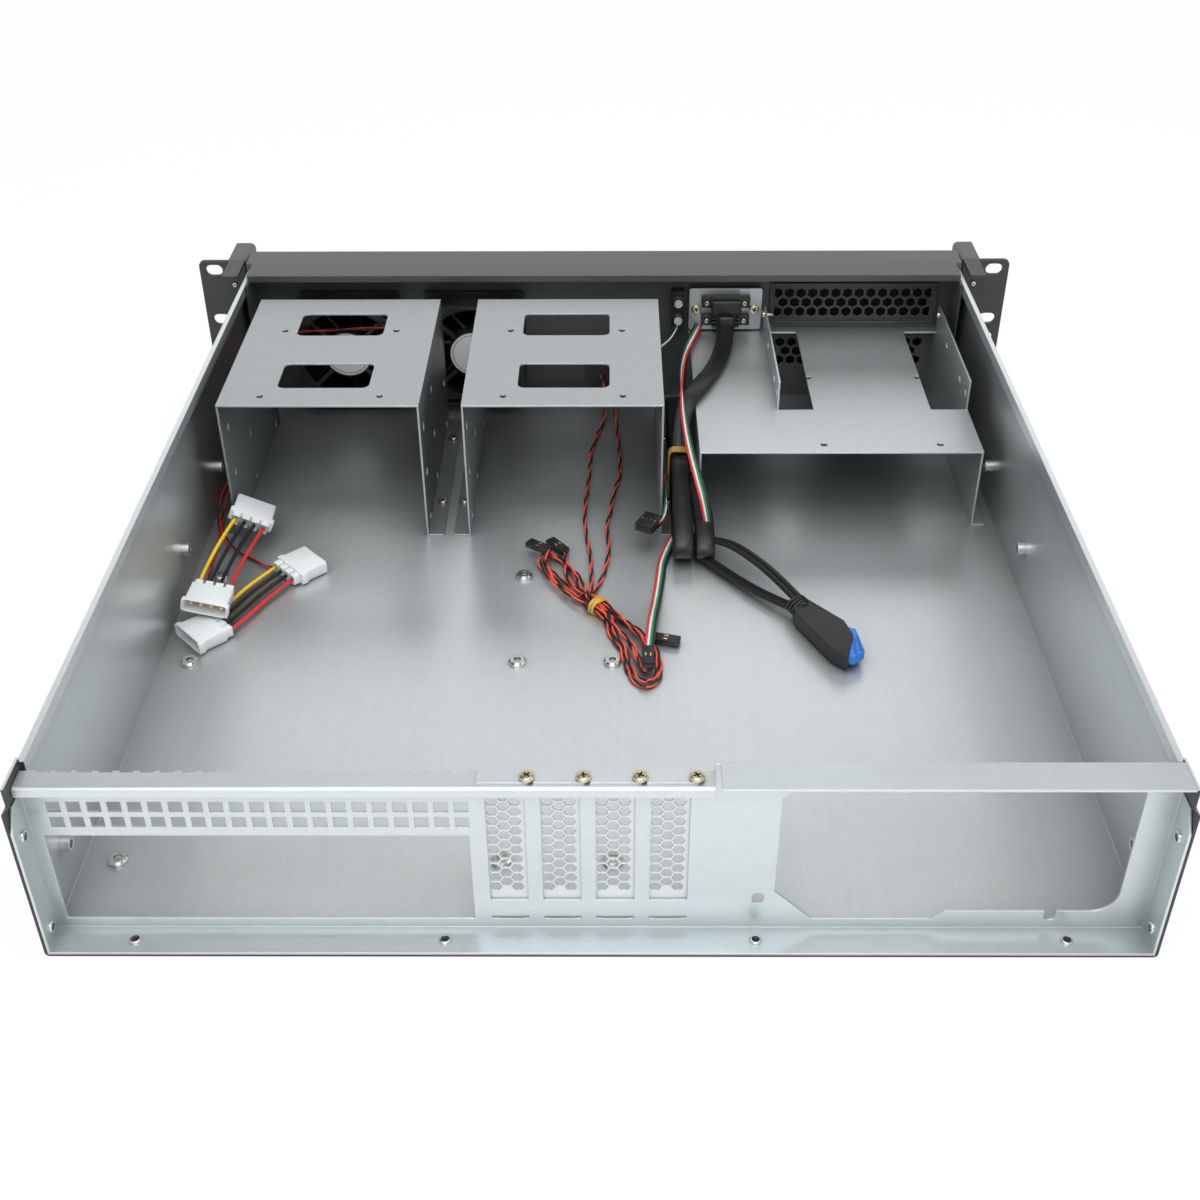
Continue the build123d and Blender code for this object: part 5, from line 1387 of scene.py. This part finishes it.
@dataclass
class FanLabels:
    """Bare round labels on the motor seats of the fans, with a thin dark line near their edge."""

    radius: float = 0.01365
    thickness: float = 0.00018
    margin: float = 0.09
    line: float = 0.03

    def build(self) -> None:
        """Makes one label and copies it to both fans."""
        bench = Bench.rod("fan_label", self.radius, self.thickness, -self.thickness / 2, sides=56)
        bench.coat(LABEL)
        bench.pick(Pick.FACES, lambda c, n: n.z > STRAIGHT).inset(self.radius * self.margin).paint(LABEL_RIM)
        bench.pick(Pick.FACES, lambda c, n: n.z > STRAIGHT and c.xy.length < self.radius * 0.02)
        template = bench.inset(self.radius * self.line).paint(LABEL).smooth().piece
        for side in ("left", "right"):
            low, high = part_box(f"fan_frame_{side}")
            middle = (Vector(low) + Vector(high)) / 2
            middle.y = high[1] + self.thickness / 2
            name = f"fan_label_{side}"
            label = copy_at(template, name, Matrix.Translation(middle) @ turned(-90, "X"))
            settle(name, [label], "white_nylon")
        bpy.data.objects.remove(template)


@dataclass
class PowerLeads:
    """Two pairs of white power plugs with their short wires, and the fan leads that end on them."""

    wire: float = 0.0010
    thin: float = 0.00045
    fan_turns: float = 28.0
    poles: tuple[tuple[str, Finish, str], ...] = (
        ("yellow", WIRE_YELLOW, "wire_yellow"),
        ("black_inner", WIRE_BLACK, "wire_black"),
        ("black_outer", WIRE_BLACK, "wire_black"),
        ("red", WIRE_RED, "wire_red"),
    )
    link_lengths: tuple[float, ...] = (0.0530, 0.0528, 0.0527, 0.0526, 0.0486, 0.0486, 0.0483, 0.0484)
    fan_lengths: tuple[float, ...] = (0.2347, 0.2888)
    link_routes: tuple[Route, ...] = (
        ((0.1926, -0.0332, 0.0219), (0.1984, -0.0085, 0.0205), (0.2018, 0.0186, 0.0154)),
        ((0.1880, -0.0332, 0.0198), (0.1938, -0.0085, 0.0184), (0.1969, 0.0186, 0.0145)),
        ((0.1833, -0.0332, 0.0178), (0.1892, -0.0085, 0.0164), (0.1920, 0.0186, 0.0136)),
        ((0.1787, -0.0332, 0.0157), (0.1847, -0.0085, 0.0140), (0.1870, 0.0186, 0.0126)),
        (
            (0.1701, -0.0129, 0.0048), (0.1805, 0.0015, 0.0042), (0.1875, 0.0170, 0.0042),
            (0.1926, 0.0299, 0.0048),
        ),
        (
            (0.1666, -0.0092, 0.0048), (0.1770, 0.0052, 0.0042), (0.1839, 0.0208, 0.0042),
            (0.1891, 0.0336, 0.0048),
        ),
        (
            (0.1632, -0.0054, 0.0048), (0.1732, 0.0094, 0.0042), (0.1801, 0.0252, 0.0042),
            (0.1856, 0.0373, 0.0048),
        ),
        (
            (0.1597, -0.0018, 0.0048), (0.1694, 0.0134, 0.0042), (0.1762, 0.0294, 0.0042),
            (0.1821, 0.0410, 0.0048),
        ),
    )
    fan_routes: tuple[Route, ...] = (
        (
            (0.1816, -0.1900, 0.0660), (0.1930, -0.1860, 0.0630), (0.2035, -0.1720, 0.0540),
            (0.2055, -0.1460, 0.0340), (0.2062, -0.1120, 0.0170), (0.2074, -0.0800, 0.0085),
            (0.2076, -0.0580, 0.0044), (0.2056, -0.0400, 0.0024), (0.2046, -0.0140, 0.0030),
            (0.2014, 0.0060, 0.0080), (0.1994, 0.0180, 0.0116),
        ),
        (
            (0.1068, -0.1880, 0.0640), (0.1130, -0.1820, 0.0620), (0.1280, -0.1802, 0.0605),
            (0.1500, -0.1798, 0.0600), (0.1760, -0.1806, 0.0585), (0.1990, -0.1796, 0.0530),
            (0.2084, -0.1680, 0.0420), (0.2098, -0.1420, 0.0260), (0.2102, -0.1120, 0.0135),
            (0.2106, -0.0840, 0.0095), (0.2096, -0.0600, 0.0070), (0.2045, -0.0440, 0.0056),
            (0.1960, -0.0330, 0.0026), (0.1860, -0.0255, 0.0023), (0.1786, -0.0196, 0.0026),
            (0.1714, -0.0142, 0.0030),
        ),
    )

    def build(self) -> None:
        """Makes the wires between the plugs and both fan leads."""
        for index, route in enumerate(self.link_routes):
            pair, pole = divmod(index, len(self.poles))
            color, finish, slot = self.poles[pole]
            Cord(
                f"link_{color}_{pair + 1}", (f"link_wire_{index + 1}",), route, (Strand(self.wire, finish),),
                2 * self.wire, self.link_lengths[index], slot,
            ).build(f"white_plug_{2 * pair + 1}", f"white_plug_{2 * pair + 2}")
        strands = wound(self.thin, self.thin, math.pi, WIRE_RED, WIRE_BLACK)
        for index, route in enumerate(self.fan_routes):
            Cord(
                f"fan_pair_{index + 1}", (f"fan_lead_{index + 1}",), route, strands, 4 * self.thin,
                self.fan_lengths[index], "wire_red", turns_per_metre=self.fan_turns, steps=16, around=6,
            ).build(f"white_plug_{index + 2}")


@dataclass
class PanelLeads:
    """Two twisted panel leads, wound into a loose bundle under a band."""

    wire: float = 0.00055
    turns: float = 52.0
    lengths: tuple[float, ...] = (0.6394, 0.6723)
    left: Route = (
        (0.0015, -0.1995, 0.0210), (0.0005, -0.1900, 0.0160), (-0.0015, -0.1780, 0.0060),
        (0.0018, -0.1630, 0.0026), (0.0070, -0.1420, 0.0025), (0.0081, -0.1048, 0.0025),
        (0.0105, -0.0678, 0.0025), (0.0089, -0.0460, 0.0025), (0.0060, -0.0240, 0.0025),
        (0.0058, -0.0060, 0.0030), (0.0056, 0.0060, 0.0046), (0.0059, 0.0155, 0.0054),
        (-0.0025, 0.0239, 0.0054), (-0.0045, 0.0320, 0.0050), (-0.0060, 0.0430, 0.0044),
        (-0.0115, 0.0540, 0.0036), (-0.0135, 0.0680, 0.0032), (-0.0175, 0.0790, 0.0032),
        (-0.0240, 0.0800, 0.0034), (-0.0270, 0.0700, 0.0036), (-0.0255, 0.0560, 0.0038),
        (-0.0180, 0.0410, 0.0036), (-0.0100, 0.0300, 0.0032), (-0.0039, 0.0225, 0.0030),
        (0.0045, 0.0141, 0.0030), (0.0120, 0.0060, 0.0030), (0.0190, -0.0020, 0.0028),
        (0.0260, -0.0110, 0.0028), (0.0310, -0.0200, 0.0030), (0.0285, -0.0255, 0.0034),
        (0.0225, -0.0225, 0.0040), (0.0165, -0.0120, 0.0048), (0.0110, -0.0020, 0.0056),
        (0.0082, 0.0085, 0.0058), (0.0073, 0.0169, 0.0056), (-0.0011, 0.0253, 0.0056),
        (-0.0035, 0.0350, 0.0056), (-0.0090, 0.0440, 0.0056), (-0.0155, 0.0540, 0.0052),
        (-0.0175, 0.0640, 0.0048), (-0.0215, 0.0705, 0.0046), (-0.0240, 0.0630, 0.0046),
        (-0.0210, 0.0500, 0.0046), (-0.0130, 0.0370, 0.0038), (-0.0060, 0.0280, 0.0030),
        (-0.0025, 0.0239, 0.0028), (0.0059, 0.0155, 0.0030), (0.0140, 0.0105, 0.0040),
        (0.0215, 0.0040, 0.0050), (0.0280, -0.0070, 0.0060), (0.0300, -0.0160, 0.0072),
        (0.0279, -0.0236, 0.0080),
    )
    right: Route = (
        (-0.0055, -0.1995, 0.0210), (-0.0060, -0.1900, 0.0155), (-0.0066, -0.1780, 0.0060),
        (-0.0082, -0.1620, 0.0026), (-0.0092, -0.1400, 0.0025), (-0.0100, -0.1100, 0.0025),
        (-0.0061, -0.0918, 0.0025), (-0.0041, -0.0700, 0.0025), (-0.0016, -0.0532, 0.0025),
        (-0.0037, -0.0350, 0.0025), (-0.0014, -0.0140, 0.0025), (0.0016, -0.0010, 0.0028),
        (0.0055, 0.0090, 0.0030), (0.0073, 0.0169, 0.0030), (-0.0011, 0.0253, 0.0030),
        (-0.0022, 0.0350, 0.0028), (-0.0045, 0.0450, 0.0026), (-0.0095, 0.0540, 0.0024),
        (-0.0110, 0.0660, 0.0024), (-0.0140, 0.0775, 0.0024), (-0.0200, 0.0845, 0.0024),
        (-0.0275, 0.0780, 0.0026), (-0.0285, 0.0640, 0.0030), (-0.0250, 0.0500, 0.0038),
        (-0.0160, 0.0385, 0.0048), (-0.0070, 0.0310, 0.0054), (0.0003, 0.0267, 0.0056),
        (0.0087, 0.0183, 0.0054), (0.0160, 0.0125, 0.0048), (0.0225, 0.0040, 0.0042),
        (0.0290, -0.0080, 0.0038), (0.0335, -0.0180, 0.0036), (0.0330, -0.0260, 0.0034),
        (0.0270, -0.0290, 0.0030), (0.0205, -0.0220, 0.0028), (0.0145, -0.0100, 0.0028),
        (0.0120, 0.0020, 0.0028), (0.0102, 0.0115, 0.0030), (0.0087, 0.0183, 0.0030),
        (0.0003, 0.0267, 0.0030), (-0.0050, 0.0360, 0.0034), (-0.0110, 0.0450, 0.0040),
        (-0.0150, 0.0560, 0.0044), (-0.0175, 0.0680, 0.0046), (-0.0205, 0.0765, 0.0048),
        (-0.0250, 0.0700, 0.0052), (-0.0225, 0.0560, 0.0056), (-0.0165, 0.0420, 0.0058),
        (-0.0085, 0.0310, 0.0056), (-0.0039, 0.0225, 0.0054), (0.0045, 0.0141, 0.0056),
        (0.0120, 0.0090, 0.0054), (0.0165, 0.0020, 0.0050), (0.0190, -0.0080, 0.0044),
        (0.0190, -0.0190, 0.0038), (0.0197, -0.0295, 0.0034),
    )

    def build(self) -> None:
        """Makes both leads with their turns."""
        strands = wound(self.wire, self.wire, math.pi, WIRE_ORANGE, WIRE_BLACK)
        for index, (side, route) in enumerate((("left", self.left), ("right", self.right))):
            Cord(
                f"panel_pair_{side}", (f"panel_lead_{index + 1}", "lead_hank"), route, strands,
                4 * self.wire, self.lengths[index], "wire_red", lay="coiled",
                turns_per_metre=self.turns, steps=12, around=6,
            ).build(f"pin_connector_{side}", "band_on_hank")


@dataclass
class PortCable:
    """Flat black cable from the twin port, folded under a band, with its round leads and plug."""

    width: float = 0.0102
    thickness: float = 0.0026
    length: float = 0.5356
    lead: float = 0.0015
    lead_width: float = 0.0038
    lead_lengths: tuple[float, ...] = (0.0680, 0.0723)
    points: Route = (
        (-0.0725, -0.1940, 0.0560), (-0.0715, -0.1780, 0.0515), (-0.0650, -0.1520, 0.0500),
        (-0.0550, -0.1280, 0.0514), (-0.0460, -0.1100, 0.0500), (-0.0426, -0.0950, 0.0400),
        (-0.0419, -0.0800, 0.0280), (-0.0419, -0.0560, 0.0235), (-0.0419, -0.0340, 0.0200),
        (-0.0419, -0.0185, 0.0150), (-0.0419, -0.0175, 0.0060), (-0.0419, -0.0330, 0.0040),
        (-0.0419, -0.0520, 0.0080), (-0.0419, -0.0900, 0.0110), (-0.0419, -0.1300, 0.0105),
        (-0.0419, -0.1600, 0.0100), (-0.0419, -0.1730, 0.0130), (-0.0419, -0.1700, 0.0205),
        (-0.0419, -0.1500, 0.0225), (-0.0419, -0.1100, 0.0230), (-0.0425, -0.0840, 0.0215),
        (-0.0490, -0.0660, 0.0200), (-0.0530, -0.0500, 0.0180), (-0.0535, -0.0360, 0.0165),
        (-0.0535, -0.0215, 0.0130), (-0.0535, -0.0185, 0.0060), (-0.0535, -0.0300, 0.0035),
        (-0.0535, -0.0430, 0.0060),
    )
    lead_routes: tuple[Route, ...] = (
        (
            (-0.0500, -0.0250, 0.0050), (-0.0610, -0.0120, 0.0044), (-0.0760, 0.0065, 0.0050),
            (-0.0880, 0.0185, 0.0058), (-0.0958, 0.0251, 0.0062),
        ),
        (
            (-0.0520, -0.0300, 0.0110), (-0.0630, -0.0230, 0.0155), (-0.0790, -0.0050, 0.0146),
            (-0.0910, 0.0120, 0.0118), (-0.0980, 0.0238, 0.0098),
        ),
    )

    def build(self) -> None:
        """Makes the flat cable and both leads."""
        Cord(
            "port_flat_cable", ("port_cable", "port_cable_fold"), self.points,
            (Strand(self.thickness / 2, JACKET),), self.width, self.length, "wire_black", "object", "medium",
            profile=lozenge(self.width, self.thickness), steps=12,
        ).build("band_on_fold")
        strands = side_by_side(self.lead, JACKET, JACKET)
        for index, route in enumerate(self.lead_routes):
            Cord(
                f"port_round_lead_{index + 1}", (f"port_lead_{index + 1}",), route, strands, self.lead_width,
                self.lead_lengths[index], "wire_black", "plug", "medium", around=12,
            ).build("cable_boot", "blue_plug")


@dataclass
class Ribbons:
    """Four-wire ribbon from the port plate, its lower run, and the thin leads of the lamps."""

    wire: float = 0.00065
    width: float = 0.00481
    thin: float = 0.00045
    leans: tuple[tuple[float, Point], ...] = (
        (0.0, (0.8, 0.0, 0.4)), (0.35, (0.5, 0.0, -0.8)), (0.6, (-0.5, 0.0, -0.5)), (1.0, (-1.0, 0.2, 0.0)),
    )
    upper: Route = (
        (-0.0573, -0.2044, 0.0506), (-0.0510, -0.1820, 0.0516), (-0.0450, -0.1500, 0.0540),
        (-0.0430, -0.1120, 0.0550), (-0.0448, -0.0740, 0.0485), (-0.0496, -0.0500, 0.0385),
        (-0.0540, -0.0395, 0.0260), (-0.0560, -0.0360, 0.0140),
    )
    lower: Route = (
        (-0.0386, -0.0440, 0.0046), (-0.0316, -0.0260, 0.0024), (-0.0299, -0.0080, 0.0023),
        (-0.0274, 0.0140, 0.0030), (-0.0252, 0.0340, 0.0092), (-0.0234, 0.0500, 0.0094),
        (-0.0224, 0.0630, 0.0092),
    )
    lamp: Route = (
        (-0.0445, -0.2042, 0.0524), (-0.0425, -0.1960, 0.0500), (-0.0370, -0.1870, 0.0465),
        (-0.0270, -0.1816, 0.0425), (-0.0150, -0.1826, 0.0365), (-0.0085, -0.1896, 0.0315),
        (-0.0070, -0.1990, 0.0285),
    )
    header: Route = (
        (-0.0276, -0.0347, 0.0170), (-0.0316, -0.0382, 0.0173), (-0.0333, -0.0480, 0.0179),
        (-0.0335, -0.0620, 0.0184), (-0.0343, -0.0800, 0.0190), (-0.0376, -0.0905, 0.0192),
    )

    def build(self) -> None:
        """Makes the ribbon's two runs and both bundles of thin wires."""
        Cord(
            "ribbon_over", ("ribbon_upper",), self.upper,
            side_by_side(self.wire, WIRE_BLACK, WIRE_GREEN, WIRE_WHITE, WIRE_RED),
            diameter=self.width, length=0.1875, slot="ribbon", far_end="object", across=self.leans,
        ).build()
        Cord(
            "ribbon_end", ("ribbon_lower",), self.lower,
            side_by_side(self.wire, WIRE_RED, WIRE_WHITE, WIRE_GREEN, WIRE_BLACK),
            diameter=self.width, length=0.1094, slot="ribbon",
        ).build("pin_connector_ribbon")
        Cord(
            "lamp_wires", ("lamp_lead",), self.lamp,
            wound(self.thin, 0.0005, 2.1, WIRE_GREEN, WIRE_WHITE, WIRE_BLACK),
            diameter=0.0019, length=0.0647, slot="wire_black", far_end="object",
            turns_per_metre=20.0, around=6,
        ).build()
        Cord(
            "header_wires", ("header_lead",), self.header,
            wound(self.thin, 0.0006, 1.57, WIRE_GREEN, WIRE_WHITE, WIRE_RED, WIRE_BLACK),
            diameter=0.0020, length=0.0578, slot="wire_black", turns_per_metre=12.0, around=6,
        ).build("header_connector")


@dataclass
class Sheetwork:
    """Finishes of the folded sheets, the covers and the nuts."""

    cages: tuple[str, ...] = ("drive_cage_left", "drive_cage_right")
    small: tuple[str, ...] = ("bay_bracket", "port_plate")
    covers: int = 4

    def build(self) -> None:
        """Dresses the sheets."""
        dress(TRAY, "base_tray")
        dress(ZINC_REAR, "rear_panel")
        dress(ZINC_CAGE, *self.cages)
        dress(ZINC_BAY, *self.small)
        dress(ZINC_COVER, *(f"slot_cover_{index + 1}" for index in range(self.covers)))
        dress(ZINC_NUT, "clinch_nuts")


@dataclass
class FrontGroup:
    """Finishes of the front panel, bezel, grille, ears, handles, buttons and light guides."""

    black: tuple[str, ...] = ("bay_grille", "rack_ear_left", "rack_ear_right")
    charcoal: tuple[str, ...] = ("front_bezel", "handle_left", "handle_right")
    mouldings: tuple[str, ...] = ("power_button", "reset_button", "switch_block", "lamp_holder")
    fans: tuple[str, ...] = ("fan_frame_left", "fan_frame_right", "fan_rotor_left", "fan_rotor_right")
    mats: tuple[tuple[str, Point, Point], ...] = (
        ("filter_mat_fans", (0.0450, -0.2259, 0.0100), (0.1850, -0.2235, 0.0730)),
        ("filter_mat_bay", (-0.2030, -0.2259, 0.0080), (-0.0960, -0.2235, 0.0800)),
    )
    mat_corner: float = 0.004
    mat_rim: tuple[float, float] = (0.003, 0.0006)

    def build(self) -> None:
        """Dresses the front."""
        dress(BLACK_SHEET, *self.black)
        dress(BEZEL_COAT, *self.charcoal)
        dress(BLACK_PLASTIC, *self.mouldings)
        dress(FAN_BLACK, *self.fans)
        dress(CLEAR, "light_guides")
        # The front panel gets the lighter copy of the black coat, as painted light.
        dress(PANEL_COAT_PAINTED_LIGHT, "front_panel")
        for mat in self.mats:
            self.mat(*mat)

    def mat(self, name: str, low: Point, high: Point) -> None:
        """Dark filter mat behind the bezel's slots, with a pressed rim.

        Args:
            name: Name of the piece.
            low: Lowest corner.
            high: Highest corner.
        """
        bench = Bench.box(name, low, high)
        bench.pick(Pick.EDGES, lambda c, d: abs(d.y) > STRAIGHT).bevel(self.mat_corner, 3)
        bench.pick(Pick.FACES, lambda c, n: n.y > STRAIGHT).inset(*self.mat_rim)
        settle(name, [bench.coat(FILTER).smooth().piece], "fan_plastic")


def main() -> None:
    """Builds the studio, the dressed parts and the cords, in this order."""
    logging.basicConfig(level=logging.INFO, format="%(message)s")
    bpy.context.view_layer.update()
    dressed = (Studio(), Sheetwork(), FrontGroup(), Fasteners(), FanLabels(), PortParts(), Connectors())
    cords = (PowerLeads(), PanelLeads(), PortCable(), Ribbons())
    for part in dressed + cords:
        part.build()


if __name__ == "__main__":
    main()
